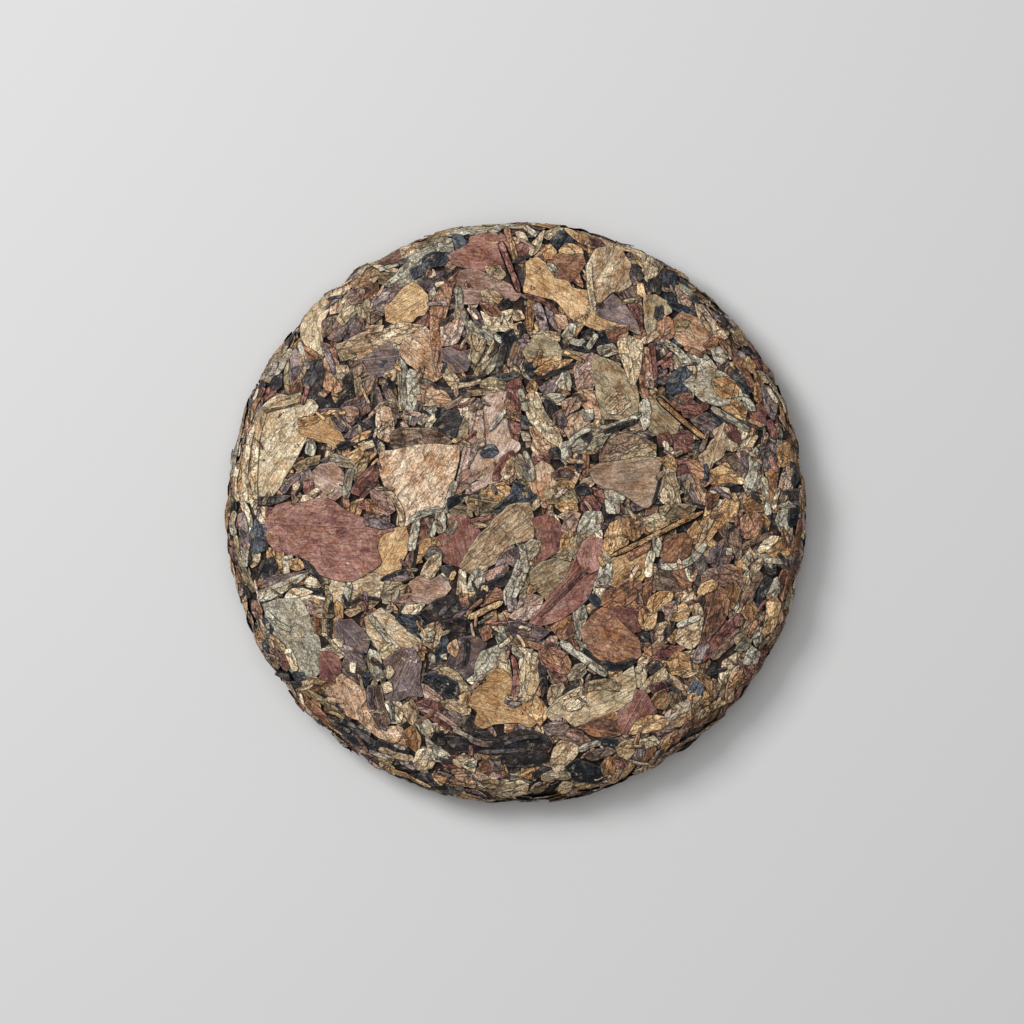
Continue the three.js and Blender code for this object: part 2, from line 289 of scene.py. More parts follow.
def new_leaf(rng, sides, tone, shade, side="face", grown=0.2, **more):
    """A leaf's facts, with everything random in it drawn now, grown past its outline a little"""
    first, second, bends = sides
    ends = (first + second)[[0, -1]] / 2
    axis = ends[1] - ends[0]
    length = np.hypot(*axis)
    axis = axis / length
    normal = np.array([-axis[1], axis[0]])
    if ((second - first).mean(axis=0) @ normal > 0) != (side == "face"):
        first, second = second, first
    if side == "back":
        normal = -normal
    width = np.hypot(*(second - first).T).max()
    jags = [np.interp(STATIONS, JAGS, rng.uniform(-JAG, JAG, len(JAGS))) for _ in (0, 1)]
    ragged = np.stack(jags)[:, :, None] + rng.uniform(-RAGGED, RAGGED, (2, len(STATIONS), 1))
    ragged *= min(1, width / 7)
    longer = axis * grown * np.linspace(-1, 1, len(STATIONS))[:, None]
    sharp = np.minimum(1, 0.2 + 6 * np.minimum(STATIONS, 1 - STATIONS))[:, None]
    first = first - normal * (grown + ragged[0]) * sharp + longer
    second = second + normal * (grown + ragged[1]) * sharp + longer
    leaf = {
        "first": first, "second": second, "side": side, "tone": tone, "shade": shade,
        "corners": bends, "centre": ends.mean(axis=0), "axis": axis, "length": length,
        "run": sum(np.hypot(*np.diff(line, axis=0).T).sum() for line in (first, second)) / 2,
        "width": width,
        "broad": ripples(rng, 4, 8, 15),
        "crumple": ripples(rng, 5, 2.0, 5.0),
        "wrinkle": ripples(rng, 3, 5, 9),
        "lip": ripples(rng, 3, 4, 9),
        "shift": rng.uniform(0, 400, 2),
        "patch": rng.uniform(0, 1),
        "curl": rng.uniform(0.0, 0.2),
        "flap": rng.uniform(-0.7, 0.7),
        "broken": 0.9, "thick": 0.22, "arch": 0.0, "stiff": 2.6, "cell": 1.0, "step": 0.0,
        "ribbed": width > 5.5 and rng.uniform() < 0.5,
    }
    leaf.update(more)
    return leaf


# %% The form of a leaf
SKIRT = 0.36  # how far the underside reaches past the face
SWELL_HEIGHT = 0.2
CRUMPLE_HEIGHT = 0.2
PLEAT_HEIGHT = 0.06
CURL_REACH = 1.6


def outline(leaf, t, v):
    """Where t and v lie on the map, in the leaf's own millimetres, and how far from its rim"""
    x1, y1 = (np.interp(t, STATIONS, leaf["first"][:, i]) for i in (0, 1))
    x2, y2 = (np.interp(t, STATIONS, leaf["second"][:, i]) for i in (0, 1))
    half_x, half_y = (x2 - x1) / 2, (y2 - y1) / 2
    half = np.hypot(half_x, half_y)
    x, y = (x1 + x2) / 2 + v * half_x, (y1 + y2) / 2 + v * half_y
    ax, ay = leaf["axis"]
    dx, dy = x - leaf["centre"][0], y - leaf["centre"][1]
    end = 2 * t - 1
    edge = np.minimum((1 - abs(v)) * half, (1 - abs(end)) * leaf["length"] / 2)
    beside = np.where(abs(v) > 0.999, np.sign(v), 0) / half
    beyond = np.where(abs(end) > 0.999, np.sign(end), 0)
    out = np.stack([half_x * beside + ax * beyond, half_y * beside + ay * beyond])
    return x, y, dx * ax + dy * ay, dy * ax - dx * ay, edge, out * SKIRT * np.minimum(1, 0.4 + half)


def relief(leaf, v, lengthwise, across, edge):
    """How far the leaf's face stands off the heap under it"""
    size = min(leaf["length"], leaf["width"])
    height = SWELL_HEIGHT * min(1, size / 8) * unevenness(leaf["broad"], lengthwise, across)
    ridge = 1 - 2 * abs(unevenness(leaf["crumple"], lengthwise, across))
    height += CRUMPLE_HEIGHT * min(1, size / 5) * leaf["broken"] * ridge
    wander = 1.3 * unevenness(leaf["wrinkle"], lengthwise, across)
    height += PLEAT_HEIGHT * min(1, size / 6) * np.sin(2.6 * across + wander + 0.35 * lengthwise)
    height += leaf["arch"] * (1 - v**2)
    near = np.clip(1 - edge / CURL_REACH, 0, 1)
    height += leaf["curl"] * near**2 * (0.6 + unevenness(leaf["lip"], lengthwise, across))
    if leaf["step"]:
        line = across - leaf["flap"] * leaf["width"] / 2 + 0.12 * lengthwise
        height += leaf["step"] * np.clip(line / 0.9 + 0.5, 0, 1)
    return height


def on_corners(corners, steps):
    """The rows of a blank, each moved to a corner that is less than half a step away"""
    ticks = np.linspace(0, 1, steps + 1)
    for corner in corners:
        nearest = int(round(corner * steps))
        if 0 < nearest < steps:
            ticks[nearest] = corner
    return ticks


laid = []
NO_RIB = 50.0  # farther from a midrib than any place on a leaf
CLEAN_WIDTH = 6.5  # shreds fall only on leaves that are narrower than this
STALK_ARCH = 0.3  # a stalk is arched more than this, and no shred covers one


def lay(leaf):
    """Lays a leaf on the heap and keeps its vertices' places on the map"""
    side = leaf["side"]
    fine = CELL * 0.7
    t = np.linspace(0, 1, max(3, int(leaf["run"] / fine)))[:, None]
    v = np.linspace(-1, 1, max(3, int(leaf["width"] / fine)))[None, :]
    t, v = np.broadcast_arrays(t, v)
    x, y, lengthwise, across, edge, _ = outline(leaf, t, v)
    column = np.clip(((x + MAP_REACH) / CELL).round().astype(int), 0, CELLS - 1)
    row = np.clip(((y + MAP_REACH) / CELL).round().astype(int), 0, CELLS - 1)
    margin = int(leaf["stiff"] / CELL) + 3
    c0, c1 = max(0, column.min() - margin), min(CELLS, column.max() + margin + 1)
    r0, r1 = max(0, row.min() - margin), min(CELLS, row.max() + margin + 1)
    under = heap[side][r0:r1, c0:c1]
    rest = soften(spread(under, 1), leaf["stiff"] / CELL / 2) + leaf["thick"]

    def height_at(x, y, v, lengthwise, across, edge):
        support = read(rest, (x + MAP_REACH) / CELL - c0, (y + MAP_REACH) / CELL - r0)
        return support + relief(leaf, v, lengthwise, across, edge)

    height = height_at(x, y, v, lengthwise, across, edge)
    np.maximum.at(heap[side], (row, column), height)
    breadth[side][row, column] = leaf["width"] if leaf["arch"] < STALK_ARCH else CLEAN_WIDTH

    long_steps = max(3, int(round(leaf["run"] / leaf["cell"])))
    cross_steps = max(2, int(round(leaf["width"] / leaf["cell"])))
    if leaf["arch"]:
        cross_steps = max(cross_steps, 4)
    t, v, below, faces, level = blank(long_steps, cross_steps)
    t = on_corners(leaf["corners"], long_steps)[np.round(t * long_steps).astype(int)]
    x, y, lengthwise, across, edge, out = outline(leaf, t, v)
    height = height_at(x, y, v, lengthwise, across, edge)
    leaf.update(
        vx=x + out[0] * below, vy=y + out[1] * below, height=height,
        below=below, faces=faces, level=level,
        u=lengthwise + leaf["shift"][0], w=across + leaf["shift"][1],
        rib=across if leaf["ribbed"] else np.full(len(x), NO_RIB),
        rim=np.where(below, 2.0, np.clip(1 - edge / 0.7, 0, 1)),
    )
    laid.append(leaf)


# %% [markdown]
# ## The heap under the leaves that show best
# Most of a cake is made of leaves that nobody looks at one by one. A seeded draw lays them:
# broad ones first, then torn pieces, and strips between them. Near the rim they lie along it,
# because the cloth drags them round. A last ring of pieces closes the low part of the rim.

# %% The tones of the heap and how often each comes
SHARES = {
    "tan": 0.17, "ochre": 0.12, "peach": 0.09, "rose": 0.08, "plum": 0.09, "mauve": 0.1, "russet": 0.09,
    "charcoal": 0.06, "slate": 0.02, "sage": 0.06, "khaki": 0.08, "cream": 0.03, "brown": 0.06,
}
TONES = list(SHARES)
CHANCES = np.array(list(SHARES.values())) / sum(SHARES.values())
EQUATOR = along[np.argmax(section[:, 0])]
BACK_EQUATOR = SECTION_LENGTH - EQUATOR
ALONG_RIM = SHOULDER - 2
STRIP_RISE = 0.06
HEAP_SEED = 30417


def scatter(rng, side, count, kind, lengths, widths, cell, inner=0.0):
    """Lays leaves at random places, evenly over the map's disc or over a ring of it"""
    reach = EQUATOR + 3 if side == "face" else BACK_EQUATOR - 1
    for _ in range(count):
        out = math.sqrt(inner**2 + (reach**2 - inner**2) * rng.uniform())
        angle = rng.uniform(0, 2 * math.pi)
        turn = rng.uniform(0, 2 * math.pi)
        if out > ALONG_RIM:
            turn = angle + math.pi / 2 + rng.normal(0, 0.45)
        x, y = out * math.cos(angle), out * math.sin(angle)
        length = rng.uniform(*lengths)
        width = min(rng.uniform(*widths), length)
        if kind == "piece":
            sides = piece_sides(torn_piece(rng, x, y, length, width, turn))
            arch = 0.0
        else:
            sides = strip_sides(torn_strip(rng, x, y, length, turn), width)
            arch = width * STRIP_RISE
        lay(new_leaf(
            rng, sides, TONES[rng.choice(len(TONES), p=CHANCES)], rng.uniform(0.15, 0.85), side,
            cell=cell, step=rng.choice([0.0, 0.4]), arch=arch,
        ))


# %% The back, then the heap of the face
rng = np.random.default_rng(HEAP_SEED)
scatter(rng, "back", 330, "piece", (14, 28), (9, 17), 2.2)
scatter(rng, "back", 420, "piece", (7, 16), (4, 11), 1.7)
scatter(rng, "back", 130, "strip", (7, 18), (1.6, 3.4), 1.7)
scatter(rng, "face", 420, "piece", (13, 24), (8, 15), 1.8)
scatter(rng, "face", 760, "piece", (7, 15), (4, 10), 1.2)
scatter(rng, "face", 160, "strip", (7, 18), (1.3, 3.0), 1.1)
scatter(rng, "face", 420, "piece", (4.5, 10), (2.0, 4.5), 1.0)
scatter(rng, "back", 190, "piece", (9, 17), (5, 10), 1.9, SHOULDER)
print(len(laid), "leaves in the heap, up to", round(heap["face"].max(), 1), "mm high")

# %% [markdown]
# ## The leaves that show best
# These are laid one row each, from the lowest to the highest. A row holds the tone, how
# light it is, and the leaf's corners as column and row in the photograph. A strip has the points
# of its middle line instead, and its width in the photograph's pixels, and a stalk also has how
# far it is arched. Places are read on the face and wrapped over the rim as the map is.

# %% From the photograph to the map
PHOTO_CENTRE = (516.5, 512.5)
PHOTO_WIDTH = 578
CAKE_WIDTH = 200.0
MM_PER_PIXEL = CAKE_WIDTH / PHOTO_WIDTH
NEARER = 0.992  # the face is nearer to the camera than the widest part of the rim


def from_photo(column, row):
    """A place in the photograph, on the map"""
    x = (column - PHOTO_CENTRE[0]) * MM_PER_PIXEL * NEARER
    y = (PHOTO_CENTRE[1] - row) * MM_PER_PIXEL * NEARER
    out = math.hypot(x, y)
    if out <= SHOULDER:
        return x, y
    share = min(0.97, (out - SHOULDER) / (EDGE_DEPTH + 0.8))
    wrapped = SHOULDER + math.asin(share) / (math.pi / 2) * (EQUATOR - SHOULDER)
    return x * wrapped / out, y * wrapped / out


def places_of(words):
    """The map's places of a row's columns and rows"""
    return [from_photo(*(float(number) for number in pair.split(","))) for pair in words.split()]


# %% The rows
STALK_RISE = 0.45
SHOWN = [
    # the upper left of the rim
    ("cream", 0.35, "330,290 329,305 323,318 321,336 323,356 312,350 301,336 300,322 309,308 320,297"),
    ("peach", 1.0, "331,294 338,287 345,281 348,287 346,298 338,310 330,312"),
    ("khaki", 0.6, "338,311 346,300 353,291 358,299 350,308 341,314"),
    ("mauve", 0.5, "345,339 341,328 348,316 356,311 362,321 363,330 352,336"),
    ("mauve", 0.3, "329,338 327,325 336,318 346,321 345,332 340,340"),
    ("brown", 0.15, "323,321 331,317 330,331 323,337"),
    ("cream", 0.35, "338,320 341,313 350,307 359,302 359,309 350,317 343,325"),
    ("tan", 0.45, "349,284 358,272 372,263 380,262 378,272 371,281 358,286"),
    ("sage", 0.6, "357,272 367,262 376,257 377,262 366,268 361,274"),
    ("russet", 0.3, "360,291 366,283 377,283 377,296 366,298"),
    ("rose", 0.4, "346,296 355,286 363,290 361,300 351,303"),
    ("rose", 0.15, "378,261 388,250 400,246 400,256 390,262"),
    ("tan", 0.85, "400,246 412,241 422,243 416,254 403,258"),
    ("khaki", 0.5, "417,246 430,236 444,231 452,233 438,243 424,251"),
    ("charcoal", 0.3, "378,264 392,262 408,256 400,270 386,266"),
    ("khaki", 0.15, "378,272 392,270 398,275 388,283 379,281"),
    ("tan", 0.5, "371,264 385,267 398,269", 3),
    ("sage", 0.5, "384,284 395,276 401,268 410,256 425,248 438,240 450,238 452,247 440,252 430,257 424,264 "
     "424,274 418,282 405,285 390,287"),
    ("slate", 0.6, "411,270 420,265 422,273 414,278"),
    ("slate", 0.45, "423,272 424,258 434,252 450,251 453,256 440,264 429,266 423,277"),
    ("mauve", 0.6, "366,318 374,300 384,290 404,286 409,286 398,299 384,313 372,323"),
    ("khaki", 0.8, "359,309 366,300 372,304 367,318 360,316"),
    ("mauve", 0.4, "419,285 424,277 436,273 450,271 452,280 440,288 430,292"),
    ("cream", 0.6, "436,285 441,284 447,284", 3),
    ("tan", 0.8, "427,273 433,270 435,275 430,278"),
    ("plum", 0.4, "414,326 422,319 428,308 432,312 430,324 420,328"),
    ("sage", 0.5, "427,297 434,288 436,296 431,312 427,306"),
    ("ochre", 0.85, "386,309 396,300 405,289 413,283 421,289 427,296 427,306 422,314 416,315 413,320 405,323 "
     "395,322 387,320"),
    ("sage", 0.9, "391,343 402,339 408,345 405,353 399,355"),
    ("tan", 0.7, "337,345 350,340 370,332 386,330 400,323 424,326 428,331 410,338 390,347 372,356 355,359 "
     "345,356 338,352"),
    ("tan", 0.75, "367,327 383,326 381,331 367,333"),
    ("khaki", 0.8, "339,353 350,351 355,356 341,360"),
    ("peach", 0.65, "404,341 420,332 428,331 432,342 438,352 442,375 437,379 430,381 424,378 415,367 407,362 "
     "400,353"),
    ("russet", 0.55, "460,270 452,288 447,308 442,326 441,345 442,372 438,376 433,345 431,320 432,302 "
     "440,290"),
    ("mauve", 0.5, "362,360 378,350 390,344 399,356 397,368 388,373 375,377 367,372"),
    # left
    ("plum", 0.6, "321,343 329,345 336,352 336,363 329,358"),
    ("peach", 0.5, "323,360 331,356 338,364 339,377 345,388 335,392 326,389 322,375"),
    ("mauve", 0.8, "324,346 331,362 339,378", 4),
    ("tan", 0.75, "337,367 346,366 350,373 345,381 339,378"),
    ("russet", 0.5, "304,347 313,352 322,358 316,362 307,358"),
    ("charcoal", 0.65, "304,382 309,366 320,359 322,372 320,386 314,398 303,400"),
    ("sage", 0.8, "299,342 303,354 308,368", 3),
    ("tan", 0.6, "301,352 303,364 299,378", 5),
    ("mauve", 0.55, "289,360 296,349 301,357 300,370 294,384 289,389 287,374"),
    ("khaki", 0.6, "290,352 285,368 286,382 289,393", 4),
    ("charcoal", 0.5, "268,386 271,378 279,373 280,385 274,388"),
    ("sage", 0.5, "283,349 288,347 278,362 266,380 261,378 270,363"),
    ("sage", 0.6, "291,350 283,362 273,372", 5),
    ("mauve", 0.4, "278,396 284,390 286,398 280,400"),
    ("russet", 0.35, "292,386 299,379 302,392 290,396"),
    ("slate", 0.55, "262,383 252,400 243,422", 6),
    ("russet", 0.2, "262,388 254,403 246,420", 5),
    ("mauve", 0.5, "259,408 252,420 242,431", 4),
    ("sage", 0.4, "240,428 234,448 231,472", 6),
    ("ochre", 0.3, "245,436 241,460 238,490", 7),
    ("cream", 0.4, "237,462 234,480 236,500", 5),
    ("cream", 0.62, "240,500 243,470 245,446 250,428 257,414 266,402 280,394 290,397 300,400 313,401 318,408 "
     "309,417 300,414 297,419 296,427 300,435 306,437 302,446 294,460 286,472 276,488 268,498 254,502"),
    ("ochre", 0.25, "249,498 251,470 250,448 257,426", 4),
    ("cream", 0.35, "254,498 255,472 254,450 260,426 266,411", 4),
    ("cream", 0.55, "244,500 247,470 247,446 254,424 263,408", 4),
    ("ochre", 0.35, "263,412 270,408 284,406 298,401", 3),
    ("cream", 0.35, "263,409 272,401 286,398 300,393 301,400 286,405 268,408"),
    ("charcoal", 0.3, "317,396 324,400 334,406 332,411 322,409"),
    ("charcoal", 0.3, "336,409 341,396 350,386 356,388 352,398 343,406"),
    ("charcoal", 0.45, "343,380 350,373 353,382 347,390"),
    ("brown", 0.5, "352,366 360,361 365,368 358,375 352,372"),
    ("brown", 0.4, "362,381 375,376 377,390 368,393"),
    ("khaki", 0.6, "355,381 360,378 362,394 357,398"),
    ("mauve", 0.45, "341,409 346,402 358,398 368,403 369,410 360,417 352,424 346,431 341,420"),
    ("rose", 0.45, "340,410 348,407 357,409 358,416 350,422 343,417"),
    ("mauve", 0.25, "345,437 352,429 364,421 375,414 376,422 364,430 352,438"),
    ("mauve", 0.2, "318,412 330,411 343,412", 4),
    ("ochre", 0.4, "299,419 312,417 330,413 334,417 322,421 312,427 300,429"),
    ("ochre", 0.65, "301,430 312,428 324,420 332,419 338,430 344,441 338,447 326,442 313,437 303,434"),
    ("mauve", 0.45, "332,417 343,416 347,424 343,431 338,429"),
    ("charcoal", 0.25, "338,447 355,441 374,430", 5),
    ("ochre", 0.85, "351,441 362,434 371,431 367,438 357,441"),
    ("tan", 0.75, "362,445 372,441 374,446 364,449"),
    ("ochre", 0.75, "341,462 352,453 363,447 362,455 353,464"),
    ("sage", 0.6, "306,453 308,443 313,440 315,448 313,456"),
    ("khaki", 0.4, "294,466 307,459 320,456 318,463 306,466 297,470"),
    ("sage", 0.4, "321,461 336,454 352,462 358,468 340,465"),
    ("mauve", 0.6, "297,476 309,469 313,480 305,486 299,482"),
    ("rose", 0.62, "311,475 320,466 333,464 341,470 344,480 344,492 335,499 322,494 312,484"),
    ("khaki", 0.6, "350,473 360,462 367,460 363,474 356,481"),
    ("sage", 0.2, "346,497 348,483 352,470", 6),
    ("plum", 0.35, "352,492 360,479 372,466 378,462 376,480 364,497"),
    ("plum", 0.6, "303,484 312,481 313,492 306,494"),
    ("peach", 0.85, "299,478 294,490 302,501 312,497 317,488", 6),
    ("mauve", 0.45, "283,492 290,482 299,476", 5),
    # between the left and the middle
    ("charcoal", 0.02, "375,390 374,410 376,430", 4),
    ("mauve", 0.4, "377,388 380,400 388,415 391,420", 4),
    ("mauve", 0.35, "385,385 388,400 398,410 396,418", 5),
    ("brown", 0.5, "389,390 394,400 397,412", 4),
    ("peach", 0.85, "378,408 389,408 392,420 394,430 388,441 381,438 378,430"),
    ("tan", 0.5, "385,377 391,373 397,371", 4),
    ("khaki", 0.7, "399,362 401,380 401,400 402,410", 4),
    ("sage", 0.5, "400,358 406,368 408,378 407,392 406,405 402,410 401,385"),
    ("sage", 1.0, "410,370 415,372 418,380 418,392 415,405 413,418 411,424 405,422 403,415 408,405 408,388 "
     "408,375"),
    ("charcoal", 0.1, "388,378 394,380 393,387 387,386"),
    ("khaki", 0.8, "441,364 449,366 453,373 458,380 470,380 463,386 450,385 444,376"),
    ("plum", 0.3, "452,346 466,346 464,354 456,352"),
    ("mauve", 0.5, "442,350 450,348 460,353 470,350 470,362 466,370 455,371 449,364 443,358"),
    ("khaki", 0.6, "480,383 492,378 505,383 503,392 485,394"),
    ("khaki", 0.4, "455,395 475,393 495,392", 4),
    ("charcoal", 0.4, "445,390 458,388 466,392 455,400 447,397"),
    ("charcoal", 0.4, "423,380 432,388 445,390 458,392", 6),
    ("peach", 0.5, "418,396 424,385 428,386 436,390 443,392 450,400 445,405 432,406 420,402"),
    ("brown", 0.4, "440,410 455,403 470,394", 4),
    ("tan", 0.6, "452,388 466,384 480,381", 4),
    ("charcoal", 0.05, "460,382 475,377 490,372 500,362", 2),
    ("sage", 0.8, "420,424 428,414 436,409", 6),
    ("cream", 0.95, "427,428 432,420 436,415", 4),
    ("mauve", 0.3, "413,425 417,412 420,403", 4),
    ("charcoal", 0.1, "436,412 443,408 447,412 442,420 437,418"),
    ("charcoal", 0.4, "433,430 440,420 448,413 457,411 463,418 458,428 452,438 442,434"),
    ("cream", 0.8, "459,407 463,400 470,399 470,412 466,420 462,416"),
    ("rose", 0.95, "480,402 488,395 507,393 511,400 511,420 514,437 522,446 512,456 508,470 499,480 489,484 "
     "480,478 470,480 472,462 480,440"),
    ("rose", 0.75, "470,400 479,400 482,420 484,445 477,448 466,470 458,478 462,462 468,440 470,420"),
    ("rose", 0.3, "458,478 466,470 474,472 481,474 470,482 463,490 455,494"),
    ("sage", 0.9, "490,430 500,418 507,408", 2),
    ("plum", 0.5, "507,386 514,378 520,380 519,400 519,425 518,440 512,436 508,410"),
    ("sage", 0.6, "464,419 468,422 466,436 462,448 455,460 452,475 448,488 443,486 446,470 454,448 460,432"),
    ("brown", 0.4, "391,446 393,434 400,430 425,429 440,434 452,442 445,444 430,442 415,448 400,450"),
    ("peach", 0.88, "381,452 400,450 417,446 440,446 458,447 457,460 451,480 446,497 440,508 420,514 411,521 "
     "403,527 401,513 392,498 383,480 380,466"),
    ("slate", 0.85, "481,454 488,446 494,446 498,452 492,456 484,456"),
    ("plum", 0.4, "495,470 502,458 512,451 515,455 505,466 498,480 493,480"),
    ("peach", 0.7, "502,474 508,462 513,460 512,474 506,479"),
    ("ochre", 0.6, "482,494 490,486 504,484 512,490 505,499 490,500"),
    # the upper middle
    ("sage", 0.85, "447,236 470,229 500,227 522,226", 6),
    ("sage", 0.4, "470,234 485,232 500,228", 4),
    ("slate", 0.95, "453,236 460,235 466,240 464,246 456,246"),
    ("charcoal", 0.1, "466,236 480,236 500,232", 2),
    ("sage", 1.0, "524,225 530,229 536,233", 5),
    ("cream", 0.7, "516,232 524,232 528,240 520,239"),
    ("ochre", 0.5, "532,224 545,225 560,228", 6),
    ("khaki", 0.7, "546,236 553,231 562,229", 7),
    ("slate", 0.35, "552,240 560,232 567,229 573,240 566,243 560,249 552,246"),
    ("ochre", 0.55, "567,229 577,236 590,241", 7),
    ("cream", 0.3, "529,256 530,246 538,236 544,230 541,242 537,250"),
    ("ochre", 0.5, "543,250 550,243 555,250 553,258 546,258"),
    ("ochre", 0.65, "560,250 566,243 576,243 583,247 583,254 574,254 562,253"),
    ("plum", 0.75, "448,254 456,249 468,246 470,238 485,234 500,233 506,238 510,246 512,262 500,268 484,270 "
     "466,268 455,262"),
    ("rose", 0.45, "460,272 475,270 490,276 505,284 520,294 515,300 502,300 496,306 488,303 470,303 460,302 "
     "456,290"),
    ("tan", 0.5, "482,292 492,290 502,297 497,305 485,303"),
    ("tan", 0.7, "486,267 500,267 505,274 500,281 490,276"),
    ("plum", 0.4, "513,248 522,244 528,244 526,255 523,262 514,262"),
    ("charcoal", 0.95, "520,284 519,272 524,267 527,275 525,288"),
    ("russet", 0.7, "507,228 508,234 511,242", 4),
    ("ochre", 0.4, "511,240 514,252 516,262", 3),
    ("russet", 0.4, "480,303 495,305 502,310 500,317 486,313"),
    ("russet", 0.3, "551,262 560,254 570,255 583,253 585,262 578,272 571,280 560,278 554,270"),
    ("sage", 0.5, "548,264 554,266 557,272 550,270"),
    ("ochre", 0.1, "531,300 530,315 528,330", 7),
    ("mauve", 0.7, "536,304 541,318 545,332", 8),
    ("mauve", 0.5, "545,303 553,305 562,325 560,332 550,322"),
    ("ochre", 0.8, "524,290 528,276 527,263 536,258 545,265 552,276 558,281 567,281 572,290 580,291 590,293 "
     "592,305 594,314 608,319 622,322 610,327 600,330 590,327 580,322 572,318 566,310 557,299 540,295"),
    ("plum", 0.15, "522,296 540,301 550,305 557,314", 2.5),
    ("peach", 0.5, "555,315 565,317 568,328 560,328"),
    ("plum", 0.7, "501,243 508,262 514,278 519,291", 5.5, STALK_RISE),
    ("sage", 0.4, "456,288 460,300 455,318", 6),
    ("rose", 0.95, "442,325 450,318 458,312 464,318 460,332 458,342 443,345"),
    ("charcoal", 0.4, "440,325 446,321 453,318", 3),
    ("sage", 0.6, "463,312 468,325 472,338", 4),
    ("mauve", 0.4, "472,310 478,320 482,328", 6),
    ("sage", 0.7, "470,322 478,332 488,340 498,345", 6),
    ("khaki", 0.6, "470,336 474,346 470,360", 5),
    ("khaki", 0.5, "484,340 480,350 474,362", 5),
    ("khaki", 0.7, "476,374 486,360 494,348 497,338", 6),
    ("sage", 0.8, "487,373 494,362 500,350 502,338", 4),
    ("charcoal", 0.2, "494,336 497,346 489,356", 2.5),
    ("sage", 0.95, "483,328 492,334 502,342", 4),
    ("cream", 0.5, "482,312 490,318 502,318 512,325 520,322 522,332 515,334 508,330 496,331 487,327"),
    ("tan", 0.85, "512,311 520,311 524,318 514,320"),
    ("charcoal", 0.2, "498,306 508,299 511,305 501,310"),
    ("cream", 0.8, "502,312 512,310 508,320 504,316"),
    ("slate", 0.35, "503,336 512,330 516,342 510,356 503,362"),
    ("charcoal", 0.05, "519,325 523,338 521,346", 5),
    ("brown", 0.5, "518,342 514,352 510,366", 5),
    ("mauve", 0.5, "526,335 522,350 516,364", 5),
    ("charcoal", 0.4, "498,376 500,364 505,348", 4),
    ("charcoal", 0.5, "500,377 508,377 518,374", 5),
    ("khaki", 0.75, "524,352 532,340 542,332 553,338 560,350 560,358 545,360 530,364"),
    ("ochre", 0.6, "530,360 545,358 560,357 560,366 540,370 528,368"),
    ("tan", 0.8, "544,332 560,333 559,341 550,338"),
    ("sage", 0.9, "562,336 570,324 575,326 574,335 566,340"),
    ("charcoal", 0.2, "563,341 575,346 588,350", 4),
    ("sage", 0.9, "568,338 578,343 586,340 588,331", 5),
    # the upper right
    ("tan", 0.55, "590,236 604,238 618,245 612,250 598,246 586,243"),
    ("tan", 0.7, "615,244 632,250 645,258", 6),
    ("plum", 0.3, "590,239 600,240 606,246 592,246"),
    ("khaki", 0.5, "632,252 645,256 642,264 634,262"),
    ("tan", 0.65, "645,262 652,256 662,264 658,273 648,280 643,272"),
    ("cream", 0.55, "652,268 658,265 656,275 648,278"),
    ("mauve", 0.95, "630,264 640,268 642,278 634,284 629,276"),
    ("charcoal", 0.3, "631,263 638,265 643,275 640,282 636,272"),
    ("charcoal", 0.2, "650,280 660,276 664,284 660,292 652,290"),
    ("charcoal", 0.2, "664,270 672,270 669,279 662,277"),
    ("slate", 0.35, "664,273 674,270 677,284 675,300 668,302 665,288"),
    ("brown", 0.45, "617,290 628,287 638,287 640,300 632,304 622,298"),
    ("plum", 0.4, "628,304 640,306 642,325 641,334 636,322"),
    ("ochre", 0.85, "638,283 643,284 645,297 638,293"),
    ("khaki", 0.85, "646,296 656,295 668,302 670,312 660,318 654,328 648,334 645,318"),
    ("charcoal", 0.6, "656,318 656,308 662,306 662,316 658,321"),
    ("rose", 0.85, "676,286 684,285 692,300 688,308 680,302"),
    ("sage", 0.75, "680,284 690,291 700,298 692,297 682,291"),
    ("slate", 0.35, "668,302 680,304 692,310 686,314 674,308"),
    ("charcoal", 0.8, "690,312 696,310 700,316 694,318"),
    ("slate", 0.4, "690,299 698,295 700,301 694,302"),
    ("mauve", 0.75, "702,303 712,306 720,317 716,319 706,311"),
    ("charcoal", 0.3, "716,308 722,312 730,326 727,328 720,317"),
    ("peach", 0.55, "672,322 682,312 694,318 704,322 716,332 712,344 702,350 690,348 678,340 672,332"),
    ("khaki", 0.5, "674,324 682,320 690,322 684,330 676,330"),
    ("peach", 0.8, "696,303 706,308 718,323 728,336 722,339 708,327 700,317"),
    ("russet", 0.6, "658,324 668,318 674,324 672,336 664,342 658,336"),
    ("tan", 0.6, "592,256 598,248 612,247 622,250 630,262 628,276 630,284 618,292 611,290 600,300 594,312 "
     "590,300 588,280 587,266"),
    ("cream", 0.6, "590,262 590,285 594,308", 4),
    ("mauve", 0.6, "596,314 604,304 612,296 622,304 632,318 640,334 634,330 622,322 608,319"),
    ("slate", 0.2, "595,335 604,331 610,342 600,344"),
    ("charcoal", 0.1, "582,333 592,330 596,338 588,342"),
    ("charcoal", 0.2, "583,345 596,342 602,350 590,352"),
    ("sage", 0.95, "596,335 592,342 588,348", 3.5),
    ("russet", 0.5, "606,332 618,326 628,326 626,336 618,342 610,340"),
    ("sage", 0.65, "598,348 612,344 618,352 608,356 600,354"),
    ("khaki", 0.4, "560,352 580,356 600,360 620,366", 5),
    ("plum", 0.45, "651,344 653,362 654,380", 5),
    ("russet", 0.5, "646,348 648,365 650,384", 5),
    ("russet", 0.3, "641,352 642,375 646,398", 5),
    ("rose", 0.75, "648,372 653,380 652,388 646,386"),
    ("peach", 0.6, "642,342 650,338 658,332", 5),
    ("khaki", 1.0, "661,352 668,346 676,352 682,362 676,368 664,364"),
    ("plum", 0.5, "661,362 670,358 674,364 664,368"),
